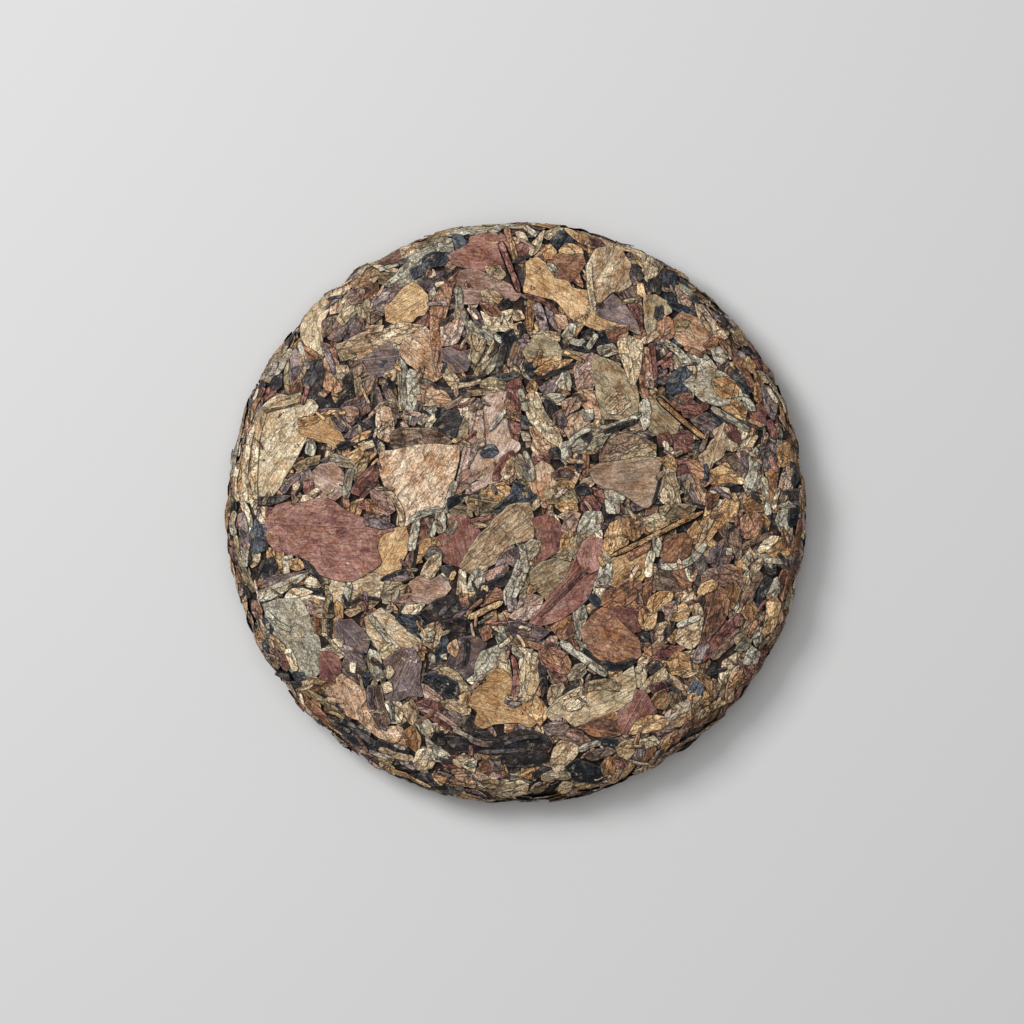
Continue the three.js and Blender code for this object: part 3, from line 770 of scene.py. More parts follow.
    ("slate", 0.7, "668,392 670,378 678,370 686,367 690,376 684,384 686,390 678,396"),
    ("slate", 0.6, "692,372 700,370 706,370", 6),
    ("sage", 0.9, "690,352 706,356 716,368 712,376 700,372 692,364"),
    ("sage", 0.9, "684,384 694,376 710,368 722,372 736,384 742,396 735,404 718,404 704,400 694,392"),
    ("ochre", 0.3, "713,380 726,378 738,384 736,396 724,398 716,390"),
    ("plum", 0.3, "708,348 718,344 724,350 716,356"),
    ("russet", 0.4, "704,346 716,334 722,338 712,350"),
    ("sage", 0.85, "712,350 724,346 730,354 722,362 714,358"),
    ("russet", 0.4, "685,348 695,352 702,356", 3),
    ("sage", 0.95, "661,342 672,346 684,358 692,370", 5),
    # the middle right
    ("ochre", 0.6, "527,388 532,380 537,385 535,392 530,393"),
    ("slate", 0.3, "524,366 534,362 536,372 530,376"),
    ("mauve", 0.35, "540,388 550,382 560,376 556,390 546,396"),
    ("ochre", 0.55, "535,372 545,366 560,362 572,360 560,370 545,378"),
    ("sage", 0.9, "556,384 566,370 569,378 570,390 562,388"),
    ("sage", 0.7, "540,398 552,394 566,396 558,402 546,402"),
    ("charcoal", 0.15, "538,378 552,374 566,368 576,364", 2.5),
    ("rose", 0.65, "574,372 580,358 592,354 600,358 594,370 592,386 578,388"),
    ("khaki", 0.6, "596,375 592,362 600,358 616,364 626,372 634,382 638,395 638,410 630,416 620,418 606,418 "
     "600,410 598,395"),
    ("tan", 0.7, "606,402 614,394 626,396 630,404 620,414 608,412"),
    ("cream", 0.55, "618,342 628,338 640,342 641,352 638,368 634,384 630,382 624,366"),
    ("peach", 0.35, "574,395 586,390 594,396 598,410 600,418 592,416 584,406"),
    ("rose", 0.9, "562,402 572,398 580,402 578,408 568,412 563,408"),
    ("peach", 0.65, "566,420 578,414 588,416 590,426 582,436 572,442 566,432"),
    ("sage", 0.9, "582,412 592,410 593,418 586,420"),
    ("ochre", 0.85, "592,424 598,421 600,428 595,431"),
    ("charcoal", 0.4, "545,400 550,401 558,410 560,420 558,430 552,420 547,410"),
    ("mauve", 0.35, "553,416 562,410 565,422 561,434 556,426"),
    ("charcoal", 0.9, "521,416 530,420 530,428 522,428"),
    ("peach", 0.5, "530,428 540,428 550,438 555,446 548,455 538,456 532,448 534,438"),
    ("sage", 0.75, "545,424 552,426 560,438 566,446 568,458 562,460 560,448 552,440"),
    ("cream", 0.35, "526,408 528,396 533,392 537,394 541,405 548,418 556,430 561,440 558,446 548,438 538,428 "
     "530,420"),
    ("sage", 0.85, "520,390 523,400 526,410", 4),
    ("sage", 1.0, "521,432 528,434 530,440 524,440"),
    ("sage", 0.95, "560,444 568,442 570,456 566,464 560,458"),
    ("charcoal", 0.2, "550,450 558,448 560,458 551,458"),
    ("plum", 0.5, "533,458 545,456 550,462 540,468 534,464"),
    ("charcoal", 0.2, "590,452 598,448 600,458 594,460"),
    ("slate", 0.3, "575,462 580,453 584,458 582,470 578,472"),
    ("russet", 0.5, "585,452 586,464 585,476", 4),
    ("khaki", 0.55, "646,402 660,396 672,408 680,420 676,432 660,436 650,430 648,415"),
    ("sage", 0.85, "640,405 646,398 650,410 648,425 644,430 640,418"),
    ("plum", 0.4, "600,464 601,450 610,444 612,458"),
    ("brown", 0.6, "604,452 612,440 625,434 640,438 652,444 640,450 625,456 610,462 602,460"),
    ("khaki", 0.7, "628,452 640,446 655,445 655,456 640,457 620,461"),
    ("sage", 0.45, "568,448 572,438 584,430 598,427 612,430 604,440 594,448 580,452"),
    ("charcoal", 0.15, "582,438 588,432 592,436 588,442"),
    ("sage", 0.8, "568,446 576,436 590,430", 2.5),
    ("sage", 0.65, "596,430 612,426 628,421 640,414", 4),
    ("charcoal", 0.2, "604,432 618,427 636,421", 2.5),
    ("ochre", 0.55, "660,460 668,456 676,462 674,474 664,472"),
    ("cream", 0.15, "660,500 664,480 668,470 674,474 678,490 680,503 668,505"),
    ("brown", 0.95, "590,470 600,466 620,461 645,458 658,460 664,470 662,486 655,498 648,506 640,504 625,495 "
     "608,488 594,480"),
    ("sage", 0.85, "605,490 615,492 624,498 622,502 610,500 606,496"),
    ("peach", 0.5, "532,470 542,462 552,468 556,478 552,492 544,500 536,494 530,482"),
    ("khaki", 0.5, "545,492 556,486 572,488 576,498 560,504 548,502"),
    ("ochre", 0.4, "556,484 564,480 574,484 572,492 560,492"),
    ("brown", 0.15, "552,474 562,468 574,474 568,478 556,479"),
    ("charcoal", 0.15, "576,488 584,484 592,492 588,498 578,494"),
    ("plum", 0.3, "582,498 592,496 600,506 596,514 582,510"),
    ("slate", 0.4, "513,505 512,490 516,482 522,486 530,494 536,496 528,504"),
    ("khaki", 0.6, "512,458 516,468 520,478", 4),
    ("sage", 0.5, "518,455 524,468 529,480", 5),
    ("sage", 0.65, "524,452 530,465 531,480", 4),
    # the right of the rim
    ("ochre", 0.85, "744,364 750,356 756,364 752,372"),
    ("cream", 0.4, "754,372 764,372 772,378 768,382 756,380"),
    ("slate", 0.4, "734,372 742,382 750,392", 7),
    ("russet", 0.3, "738,362 746,374 752,386", 5),
    ("russet", 0.2, "722,340 732,352 742,362", 6),
    ("ochre", 0.6, "756,384 762,380 764,390 760,402 756,398"),
    ("mauve", 0.6, "762,386 772,388 778,402 776,418 768,408"),
    ("cream", 0.4, "770,384 780,396 786,412", 5),
    ("cream", 0.75, "767,388 772,395 777,402", 3),
    ("plum", 0.55, "750,410 760,404 768,412 766,424 754,424"),
    ("ochre", 0.45, "722,408 732,402 742,404 746,412 744,420 734,414"),
    ("sage", 0.9, "742,398 750,400 756,410 748,410"),
    ("plum", 0.15, "700,405 706,402 708,408 702,411"),
    ("russet", 0.3, "670,400 680,396 690,394 690,402 680,410 672,406"),
    ("plum", 0.5, "682,410 690,400 698,406 702,414 694,418 684,416"),
    ("mauve", 0.3, "692,420 706,414 718,420 722,432 712,436 700,432"),
    ("slate", 0.35, "712,412 722,414 728,422 720,428"),
    ("plum", 0.45, "672,440 680,432 690,432 694,446 684,452 676,448"),
    ("plum", 0.3, "658,436 668,434 672,444 660,446"),
    ("cream", 0.85, "664,442 666,446 667,450", 3),
    ("slate", 0.2, "692,446 700,442 710,450 708,454 698,450"),
    ("sage", 0.55, "712,408 728,418 748,430", 4),
    ("brown", 0.05, "714,462 724,456 734,454 740,462 744,474 734,472 722,464"),
    ("mauve", 0.4, "742,456 750,448 752,462 748,476 744,484"),
    ("tan", 0.5, "700,456 708,450 716,438 712,432 720,428 724,424 732,430 738,438 736,450 730,452 726,446 "
     "722,456 712,462 708,472 702,466"),
    ("plum", 0.4, "724,430 730,424 738,434 740,442 732,440"),
    ("ochre", 0.65, "706,474 716,470 726,464 734,472 744,482 730,484 712,484"),
    ("russet", 0.7, "688,462 698,462 706,472 712,480 704,486 698,486 692,474"),
    ("charcoal", 0.45, "720,486 730,484 740,488 734,492 722,490"),
    ("sage", 0.75, "750,456 756,448 762,462 762,480 758,488 748,494 744,486 750,472"),
    ("charcoal", 0.8, "760,452 768,448 776,458 772,468 762,466"),
    ("ochre", 0.1, "770,470 778,468 778,480 770,480"),
    ("ochre", 0.45, "780,446 790,442 796,450 792,462 782,466 778,456"),
    ("sage", 0.85, "763,478 766,495 768,514", 6),
    ("ochre", 0.1, "744,502 754,494 764,498 762,510 750,512"),
    ("rose", 0.8, "782,474 792,472 792,490 786,500 780,492"),
    ("slate", 0.4, "790,462 796,464 798,480 794,486"),
    ("charcoal", 0.85, "784,492 796,490 798,504 788,504"),
    ("sage", 0.95, "780,506 788,502 796,508 788,512"),
    ("ochre", 0.35, "802,480 803,496 803,510", 4),
    ("plum", 0.35, "771,420 774,430 776,438", 6),
    ("russet", 0.0, "773,480 774,495 776,512", 6),
    ("mauve", 0.5, "682,476 690,474 698,494 704,504 694,500 686,488"),
    ("peach", 0.75, "694,486 702,488 710,496 704,504 698,496"),
    ("russet", 0.1, "706,498 714,486 722,488 716,502 708,510"),
    ("cream", 0.8, "720,488 728,490 730,498 722,496"),
    ("khaki", 0.4, "660,508 680,505 696,506 690,514 672,520 662,516"),
    ("ochre", 0.85, "700,546 708,532 716,516 724,500 734,494 738,502 735,514 722,524 710,538"),
    ("tan", 0.6, "696,548 706,530 716,508", 3),
    ("russet", 0.55, "742,518 755,512 762,520 760,534 746,538 742,528"),
    ("ochre", 0.35, "658,398 672,412 690,426 706,440", 4.5, STALK_RISE),
    ("brown", 0.3, "742,548 756,540 774,534", 4),
    ("sage", 0.9, "780,512 790,510 792,526 786,534 778,522"),
    ("slate", 0.2, "790,510 798,508 798,524 792,526"),
    ("russet", 0.0, "800,520 799,540 795,556", 6),
    ("ochre", 0.6, "768,552 776,542 788,538 794,546 788,554 778,558"),
    ("cream", 0.95, "758,550 764,541 774,537 780,537 776,542 766,550 760,552"),
    ("sage", 0.8, "765,560 774,561 784,562", 3),
    ("russet", 0.1, "784,572 794,566 796,578 788,592 782,600 780,584"),
    ("slate", 0.25, "758,610 760,592 766,576 772,580 766,596 762,614"),
    ("tan", 0.75, "737,612 744,590 754,570 762,560", 6),
    ("brown", 0.45, "744,602 752,588 760,573", 8),
    ("sage", 0.6, "735,602 741,586 748,570", 3),
    ("sage", 0.85, "768,598 774,584 778,578 780,588 776,600"),
    ("ochre", 0.8, "764,632 768,616 770,602 776,598 780,604 776,620 772,632 766,636"),
    ("sage", 0.7, "789,592 787,600 785,608", 4),
    ("sage", 0.85, "730,606 734,598 738,604 736,610"),
    ("ochre", 0.15, "742,612 748,603 756,608 754,620 746,618"),
    ("plum", 0.4, "700,660 712,646 728,630 740,616", 10),
    ("mauve", 0.65, "696,662 700,652 707,644", 8),
    ("brown", 0.4, "712,658 726,646 740,630", 6),
    ("khaki", 0.4, "736,642 748,634 757,624", 8),
    ("sage", 1.0, "745,664 748,655 754,648 761,654 757,662"),
    ("sage", 0.3, "736,650 744,640 752,640 746,650"),
    # the lower left
    ("ochre", 0.75, "366,592 362,570 372,545 384,530 405,528 408,540 405,553 400,568 385,578"),
    ("tan", 0.85, "330,588 334,577 348,576 362,574 375,575 385,578 380,590 379,599 362,599 352,606 343,608 "
     "336,600"),
    ("cream", 0.7, "241,503 246,524 249,545", 6),
    ("mauve", 0.75, "238,514 242,532 246,550", 8),
    ("sage", 0.8, "233,512 232,524 235,534", 6),
    ("khaki", 0.7, "236,536 238,554 244,575", 5),
    ("khaki", 0.4, "240,562 245,578 251,592", 6),
    ("charcoal", 0.3, "242,586 244,592 246,598", 4),
    ("sage", 0.7, "247,550 245,558 245,566", 4),
    ("cream", 0.7, "253,506 266,507 268,520 262,522"),
    ("slate", 0.85, "252,549 251,532 255,520 260,516 265,526 267,540 266,549 256,552"),
    ("cream", 0.7, "250,500 256,512 264,523", 3),
    ("plum", 0.2, "266,508 272,508 274,516 268,520"),
    ("plum", 0.8, "266,522 275,508 290,503 302,504 312,500 325,499 333,501 345,512 360,518 372,522 384,525 "
     "392,530 380,533 376,543 376,556 384,560 373,568 362,575 348,581 334,578 322,576 312,565 303,557 "
     "290,553 276,550 268,540"),
    ("charcoal", 0.6, "253,502 262,498 276,497 290,496 280,501 268,505 260,505"),
    ("sage", 0.7, "349,583 348,592 345,602", 5),
    ("tan", 0.35, "352,606 360,600 372,600 380,599 372,606 360,611 350,616 345,612"),
    ("charcoal", 0.4, "257,575 262,562 272,558 276,566 272,574 262,580"),
    ("cream", 0.7, "285,557 286,566 286,574", 5),
    ("ochre", 0.85, "291,560 299,560 304,567 297,570 291,568"),
    ("mauve", 0.6, "262,582 275,576 292,574 306,571 300,577 285,580 270,588 262,590"),
    ("charcoal", 0.3, "304,560 312,567 322,581 316,580 308,572"),
    ("russet", 0.4, "300,578 308,573 306,582 298,585"),
    ("cream", 0.6, "305,583 311,576 316,580 320,586 312,589"),
    ("sage", 1.0, "256,594 275,586 295,577 308,573 300,580 285,590 270,599 257,601"),
    ("charcoal", 0.4, "292,584 305,588 322,590 322,595 305,593 294,589"),
    ("cream", 0.85, "284,599 292,589 303,589 312,592 300,596"),
    ("cream", 0.95, "300,599 312,596 326,599 315,605 305,603"),
    ("sage", 0.75, "262,606 275,601 300,600 306,610 312,624 318,640 320,655 319,672 310,680 295,677 285,668 "
     "283,648 272,636 266,620"),
    ("slate", 0.4, "258,619 264,620 272,630 270,634 262,626"),
    ("sage", 0.75, "265,612 275,622 290,630", 3),
    ("rose", 0.3, "249,602 256,602 259,612 260,622 250,615"),
    ("tan", 0.65, "257,620 264,634 273,647", 6),
    ("rose", 0.4, "308,602 322,601 324,612 314,616 309,612"),
    ("russet", 0.4, "312,618 324,617 324,636 316,632"),
    ("ochre", 0.5, "333,598 342,606 342,618 334,622 330,612"),
    ("peach", 0.5, "331,622 340,616 342,630 338,640 331,636"),
    ("khaki", 0.5, "330,596 327,612 326,636", 6),
    ("charcoal", 0.05, "332,602 330,618 330,636", 2.5),
    ("mauve", 0.45, "338,622 352,620 362,630 368,640 366,652 356,652 345,645 336,638"),
    ("mauve", 0.65, "340,645 352,648 360,656 366,670 358,668 346,660"),
    ("mauve", 0.3, "340,662 350,664 358,668 372,676 366,685 352,680 342,672"),
    ("slate", 0.3, "358,672 370,676 366,684 360,682"),
    ("cream", 0.85, "351,662 355,664 355,672 351,671"),
    ("cream", 0.7, "332,640 343,640 342,646 333,645"),
    ("tan", 0.8, "320,650 335,647 345,655 338,658 328,653"),
    ("plum", 0.5, "321,653 330,652 338,658 340,668 338,682 330,683 320,680"),
    ("ochre", 0.1, "310,690 320,682 334,684 326,697"),
    ("tan", 0.9, "366,618 381,609 396,620 412,634 420,642 405,648 396,654 384,660 376,645 368,632"),
    ("sage", 1.0, "370,616 380,628 390,642 400,650", 4),
    ("khaki", 0.9, "381,646 392,644 396,650 386,658 380,656"),
    ("sage", 0.75, "370,650 377,652 381,662 384,676 378,680 372,672 368,660"),
    ("mauve", 0.42, "383,662 394,655 405,649 414,650 420,662 418,680 422,696 408,695 398,700 388,702 384,690 "
     "392,676"),
    ("khaki", 0.8, "384,668 390,666 394,672 388,678"),
    ("tan", 0.7, "382,684 390,682 392,690 384,692"),
    ("tan", 1.0, "384,702 400,703 403,712 400,722 388,722 384,712"),
    ("cream", 0.8, "384,703 392,713 400,722", 2),
    ("peach", 0.6, "360,712 366,700 369,705 376,715 385,727 400,726 408,740 404,751 392,748 380,738 368,728 "
     "358,720"),
    ("peach", 0.55, "325,697 327,688 338,684 337,678 342,675 352,682 363,688 366,697 360,705 356,712 358,719 "
     "350,717 343,714 336,700"),
    ("mauve", 0.3, "371,686 371,703 379,718 386,728", 6),
    ("brown", 0.15, "379,686 380,700 384,716 388,724", 6),
    ("russet", 0.45, "296,690 306,702 319,715 333,729", 7),
    ("charcoal", 0.2, "320,696 330,705 340,714", 5),
    ("khaki", 0.4, "301,689 313,697 329,707 343,721", 5),
    ("peach", 0.75, "326,700 333,702 334,706 328,705"),
    ("slate", 0.2, "336,722 344,720 354,728 368,738 380,748 372,750 358,747 346,738"),
    ("charcoal", 0.8, "348,724 360,733 372,742", 4),
    ("charcoal", 0.3, "378,741 392,748 408,752", 4),
    ("tan", 0.6, "380,749 393,755 412,760", 5),
    ("sage", 0.7, "370,751 381,756 393,760", 4),
    ("rose", 0.2, "272,648 277,660 285,671", 6),
    ("plum", 0.4, "280,646 283,658 287,669", 4),
    ("tan", 0.7, "267,636 275,643 283,650", 6),
    ("cream", 0.6, "287,650 291,660 294,671", 6),
    ("tan", 0.6, "298,682 310,677 318,679 308,688 300,690"),
    ("slate", 0.8, "292,674 303,674 305,679 296,681"),
    ("charcoal", 0.2, "286,683 294,685 300,682", 5),
    # the lower middle
    ("rose", 0.5, "371,492 380,488 388,497 394,510 388,514 376,508"),
    ("russet", 0.3, "366,500 376,502 378,514 368,514"),
    ("mauve", 0.3, "365,515 380,520 394,526 380,528 366,524"),
    ("peach", 0.8, "386,490 395,501 402,512 401,526", 4),
    ("sage", 0.8, "410,521 420,516 438,509 445,511", 4),
    ("sage", 0.75, "455,482 450,497 445,512", 5),
    ("charcoal", 0.2, "448,500 458,496 466,500 460,504 449,511"),
    ("khaki", 0.25, "450,511 460,505 470,508 472,516 460,516"),
    ("khaki", 0.2, "465,498 478,496 490,499 498,503 492,514 478,514 470,506"),
    ("slate", 0.5, "492,514 502,506 514,496", 5),
    ("plum", 0.25, "420,520 424,518 430,530 428,538 422,540 418,533"),
    ("brown", 0.2, "425,520 434,516 437,522 433,532"),
    ("plum", 0.6, "436,538 446,532 454,524 452,515 464,516 472,524 479,533 474,545 466,553 462,566 450,563 "
     "443,560 438,550"),
    ("sage", 0.95, "437,514 444,513 445,530 439,533 436,525"),
    ("sage", 0.85, "436,522 434,530 432,536", 3),
    ("sage", 0.4, "448,533 454,528 455,521", 3),
    ("tan", 0.4, "474,522 482,516 496,514 498,518 486,526 476,527"),
    ("tan", 0.45, "460,566 468,554 478,536 490,528 500,515 508,508 518,505 528,504 532,515 532,538 520,541 "
     "510,545 503,552 498,561 488,566 484,574 472,574"),
    ("ochre", 0.5, "418,545 424,540 436,538 440,545 430,548 422,556 417,563"),
    ("charcoal", 0.75, "430,547 440,550 443,556 434,562 426,558"),
    ("tan", 0.8, "421,578 425,566 432,557 441,554 440,564 434,574 428,581"),
    ("charcoal", 0.02, "416,542 414,556 412,568", 4),
    ("sage", 0.95, "417,521 414,535 411,550", 6),
    ("brown", 0.4, "405,566 408,556 413,550 412,562 410,568"),
    ("mauve", 0.7, "382,579 395,573 406,570 408,578 398,582 388,582"),
    ("khaki", 0.7, "382,592 388,583 400,583 405,587 402,594 394,603 384,602"),
    ("sage", 0.8, "388,592 398,590 396,600 388,600"),
    ("rose", 0.6, "396,602 402,595 415,594 422,600 412,606 400,607"),
    ("rose", 0.6, "411,582 420,578 430,582 440,575 447,582 450,588 442,598 432,603 420,602 412,598 413,590"),
    ("tan", 0.85, "400,607 412,606 424,604 420,612 411,618 402,612"),
    ("cream", 0.95, "422,606 416,612 411,618", 2.5),
    ("charcoal", 0.25, "422,612 434,602 450,597 458,594 462,602 474,610 476,620 462,626 446,622 430,620"),
    ("charcoal", 0.5, "440,615 448,606 455,600", 3),
    ("mauve", 0.2, "452,622 462,612 470,606", 3),
    ("charcoal", 0.3, "442,622 460,618 480,622 496,632 480,640 460,634 446,632"),
    ("slate", 0.35, "396,615 406,616 420,618 427,628 420,638 412,632 402,622"),
    ("tan", 0.45, "428,627 438,625 441,630 438,642 432,648 424,644"),
    ("sage", 0.8, "421,634 428,628 434,632 432,640 426,640"),
    ("cream", 0.85, "442,573 450,575 448,580 444,577"),
    ("charcoal", 0.7, "440,567 450,566 456,572 452,578 444,572"),
    ("tan", 0.7, "461,570 460,582 458,594", 3),
    ("cream", 0.7, "464,572 464,584 466,594", 3),
    ("sage", 0.95, "468,588 471,578 478,569 484,574 483,582 478,588 470,590"),
    ("rose", 0.4, "484,573 494,570 506,562 508,568 498,578 488,580"),
    ("charcoal", 0.5, "480,585 492,582 506,574 514,570 514,580 500,586 486,588"),
    ("mauve", 0.6, "498,561 506,550 514,546 512,554 504,562 496,566"),
    ("cream", 0.85, "482,587 487,586 487,591 482,591"),
    ("russet", 0.4, "478,600 486,596 500,590 504,598 494,604 482,606"),
    ("charcoal", 0.15, "466,600 476,596 480,588 486,592 480,604 470,608"),
    ("russet", 0.6, "460,596 467,594 468,604 463,606"),
    ("russet", 0.6, "484,614 495,609 497,622 486,622"),
    ("russet", 0.45, "480,630 488,626 492,636 484,640"),
    ("mauve", 0.1, "445,668 452,652 460,640 474,636 486,644 478,660 476,672 464,680 452,676"),
    ("charcoal", 0.05, "466,640 467,652 464,664", 3),
    ("slate", 0.4, "434,656 440,646 446,636 448,646 446,656 438,662"),
    ("peach", 0.7, "448,646 456,640 458,650 455,656 450,652"),
    ("cream", 0.7, "441,656 446,654 446,659"),
    ("sage", 0.7, "430,654 434,656 434,662 430,660"),
    ("khaki", 0.75, "435,672 446,668 458,674 466,684 474,690 466,694 452,688 444,678"),
    ("slate", 0.2, "424,680 432,674 446,678 456,684 460,700 448,696 436,688"),
    ("rose", 0.6, "422,684 432,690 442,698 436,702 426,698"),
    ("tan", 0.65, "442,702 456,700 468,702 466,712 450,710"),
    ("ochre", 0.75, "460,696 468,692 472,702 466,706"),
    ("plum", 0.35, "414,704 428,700 440,706 450,716 464,728 466,736 452,732 438,722 426,714"),
    ("mauve", 0.3, "444,712 456,712 462,720 460,726 448,720"),
    ("rose", 0.6, "412,708 430,710 448,722 464,736", 2.5),
    ("charcoal", 0.3, "462,718 472,716 482,728 476,732 464,730"),
    ("sage", 0.55, "418,716 428,720 434,728 430,738 422,732 416,724"),
    ("ochre", 0.0, "404,732 414,726 420,740 416,752 408,744"),
    ("tan", 0.25, "404,706 412,700 418,712 412,724 406,718"),
    ("charcoal", 0.2, "432,734 442,732 444,744 436,744"),
    ("sage", 0.5, "426,738 438,748 450,756 438,756 428,748"),
    ("charcoal", 0.2, "446,736 462,738 486,732 496,740 484,752 462,750 450,744"),
    ("mauve", 0.4, "470,738 486,744 500,742", 4),
    ("cream", 0.35, "413,762 420,750 430,750 434,762 430,770 418,770"),
    ("tan", 0.65, "452,762 464,754 470,760 460,768"),
    ("cream", 0.6, "462,766 470,758 476,762 474,772"),
    ("russet", 0.4, "480,764 490,760 494,770 482,772"),
    ("mauve", 0.2, "490,758 500,760 498,770 492,768"),
    ("charcoal", 0.25, "500,757 520,752 546,752 550,760 530,766 508,766"),
    ("charcoal", 0.05, "490,745 512,733 530,730 548,738 550,746 535,750 512,752 494,754"),
    ("charcoal", 0.7, "480,752 504,751 530,749", 2),
    ("charcoal", 0.5, "505,744 520,738 538,737", 2),
    ("sage", 0.9, "475,680 476,666 482,652 492,649 500,645 507,648 500,656 494,668 484,676"),
    ("khaki", 0.75, "494,668 504,650 508,660 511,676 508,680 500,676"),
    ("ochre", 0.55, "470,704 474,694 484,682 496,670 504,672 511,680 512,696 506,702 515,706 525,708 532,716 "
     "536,722 530,726 520,721 508,722 496,722 484,727 474,722 480,712"),
    ("ochre", 0.8, "522,706 534,694 545,708 546,716 540,724 532,714"),
    ("tan", 0.75, "510,645 520,645 532,652 540,656 538,664 528,660 516,655"),
    ("cream", 0.5, "519,668 526,652 535,658 540,665 538,682 530,696 522,702 518,690"),
    ("sage", 0.75, "500,622 504,634 514,648 522,656", 4),
    ("charcoal", 0.35, "541,662 543,676 545,692", 5),
    ("mauve", 0.5, "505,702 512,698 520,703 512,706"),
    ("plum", 0.45, "512,656 516,674 514,697", 5, STALK_RISE),
    # the lower right
    ("plum", 0.5, "533,520 545,516 556,520 560,526 568,530 562,540 558,550 548,556 536,564 538,552 544,542 "
     "538,530"),
    ("sage", 0.75, "524,548 532,540 540,542 536,554 528,560"),
    ("mauve", 0.35, "508,552 518,548 522,560 514,566 508,562"),
    ("sage", 0.65, "518,560 526,566 524,580 516,596 506,604 505,590 512,578"),
    ("sage", 0.7, "522,545 524,560 526,572", 5),
    ("khaki", 0.55, "530,572 540,563 552,560 566,560 573,562 566,574 560,586 552,594 545,598 538,590 "
     "532,585"),
    ("khaki", 0.4, "522,590 530,585 538,588 530,594 520,598"),
    ("mauve", 0.7, "508,598 516,600 516,612 509,610"),
    ("rose", 0.75, "520,600 530,594 542,598 540,608 532,618 518,620 510,616 518,610"),
    ("mauve", 0.3, "505,622 520,622 535,625 548,632 540,638 520,640 508,638"),
    ("russet", 0.3, "512,640 530,644 550,652", 4),
    ("ochre", 0.65, "556,506 564,501 575,500 577,510 568,513"),
    ("peach", 0.55, "558,516 568,512 580,514 578,517 566,519"),
    ("rose", 0.45, "562,530 566,518 572,514 576,522 575,530 568,532"),
    ("ochre", 0.5, "561,548 562,538 568,531 573,534 570,544 566,551"),
    ("sage", 0.85, "568,556 571,546 576,552 574,558"),
    ("khaki", 0.75, "556,556 562,549 572,556 570,560"),
    ("khaki", 0.35, "572,545 578,533 584,538 580,548 574,553"),
    ("sage", 0.8, "580,524 586,512 600,513 602,520 598,530 592,536 582,540 578,532"),
    ("sage", 0.9, "606,500 618,500 618,512 608,512"),
    ("russet", 0.4, "552,628 560,620 576,614 578,624 572,634 562,640"),
    ("sage", 0.6, "574,612 584,606 586,616 580,640 576,628"),
    ("plum", 0.6, "530,622 542,608 556,592 570,574 578,556 584,542 596,535 603,540 604,556 600,570 592,584 "
     "586,598 574,608 558,619 540,624"),
    ("plum", 0.95, "578,556 584,542 596,536 602,541 603,556 599,568 590,572 582,566"),
    ("plum", 0.1, "540,616 556,600 572,584 588,568", 1.8),
    ("sage", 1.0, "604,552 612,560 616,572 612,585 604,584 598,594 594,588 600,574"),
    ("cream", 0.65, "592,596 598,586 606,584 604,590 601,604 596,606"),
    ("slate", 0.2, "588,596 594,594 600,603 598,606 592,602"),
    ("cream", 0.95, "596,532 601,531 602,537 597,537"),
    ("ochre", 0.7, "604,552 606,536 612,525 620,520 622,530 628,542 622,552 612,556"),
    ("ochre", 0.05, "621,524 632,514 641,520 644,530 634,540 625,536"),
    ("khaki", 0.9, "642,522 655,514 668,520 664,532 650,532"),
    ("ochre", 0.7, "612,560 622,552 630,550 640,545 650,552 648,570 640,582 625,586 612,586 616,574"),
    ("russet", 0.45, "626,555 636,547 650,543 648,550 636,556 630,560"),
    ("ochre", 0.35, "612,584 622,576 640,568 640,573 628,582 614,587"),
    ("russet", 0.35, "620,604 634,598 642,586 650,582 650,604 640,608 624,610"),
    ("russet", 0.5, "602,600 606,592 616,588 628,580 640,582 640,592 628,602 616,608 604,607"),
    ("plum", 0.3, "612,608 626,610 640,611 640,628 630,634 620,622"),
    ("ochre", 0.75, "640,612 648,606 655,600 655,625 643,628 640,622"),
    ("russet", 0.52, "582,630 590,618 602,608 612,612 620,622 630,632 638,642 640,655 632,660 618,662 "
     "600,658 590,650 584,642"),
    ("ochre", 0.5, "688,532 696,522 700,530 696,542 688,545"),
    ("russet", 0.1, "662,546 672,538 684,534 692,540 688,552 680,562 668,564 662,556"),
    ("sage", 0.8, "654,545 658,538 661,544 658,556 654,556"),
    ("ochre", 0.55, "612,556 640,542 670,528 702,512", 4, STALK_RISE),
    ("brown", 0.35, "654,588 656,574 664,570 676,578 684,588 672,591"),
    ("russet", 0.75, "672,571 684,570 692,572 690,586 684,586 678,578"),
    ("charcoal", 0.85, "694,566 702,556 708,560 702,572 699,586 694,580"),
    ("mauve", 0.3, "708,560 716,546 724,540 732,548 728,562 716,568"),
    ("brown", 0.3, "718,530 728,524 738,532 740,546 734,552 726,540"),
    ("rose", 0.35, "702,574 716,568 730,566 740,572 742,584 728,586 712,584 703,582"),
    ("sage", 1.0, "727,549 731,549 731,554 727,554"),
    ("sage", 0.9, "661,565 675,568 688,562 698,550 705,545", 5),
    ("cream", 0.98, "652,552 649,564 648,576", 6),
    ("ochre", 0.75, "736,562 742,560 746,568 740,572"),
    ("sage", 0.65, "742,560 748,552 752,560 746,566"),
    ("ochre", 0.15, "726,590 734,582 740,590 736,600 730,610"),
    ("russet", 0.15, "696,640 700,625 706,604 708,592 716,586 724,590 728,602 726,614 718,626 708,640 "
     "700,643"),
    ("ochre", 0.9, "698,592 702,584 712,580 717,582 715,588 706,592 700,595"),
    ("charcoal", 0.1, "697,602 702,596 704,602 700,606"),
    ("ochre", 0.55, "648,606 650,598 660,592 672,592 668,602 658,608 652,616"),
    ("ochre", 0.75, "666,618 676,608 684,604 690,610 686,618 674,620"),
    ("tan", 0.8, "690,606 698,604 702,612 696,618"),
    ("ochre", 0.8, "645,614 656,616 654,626 646,630"),
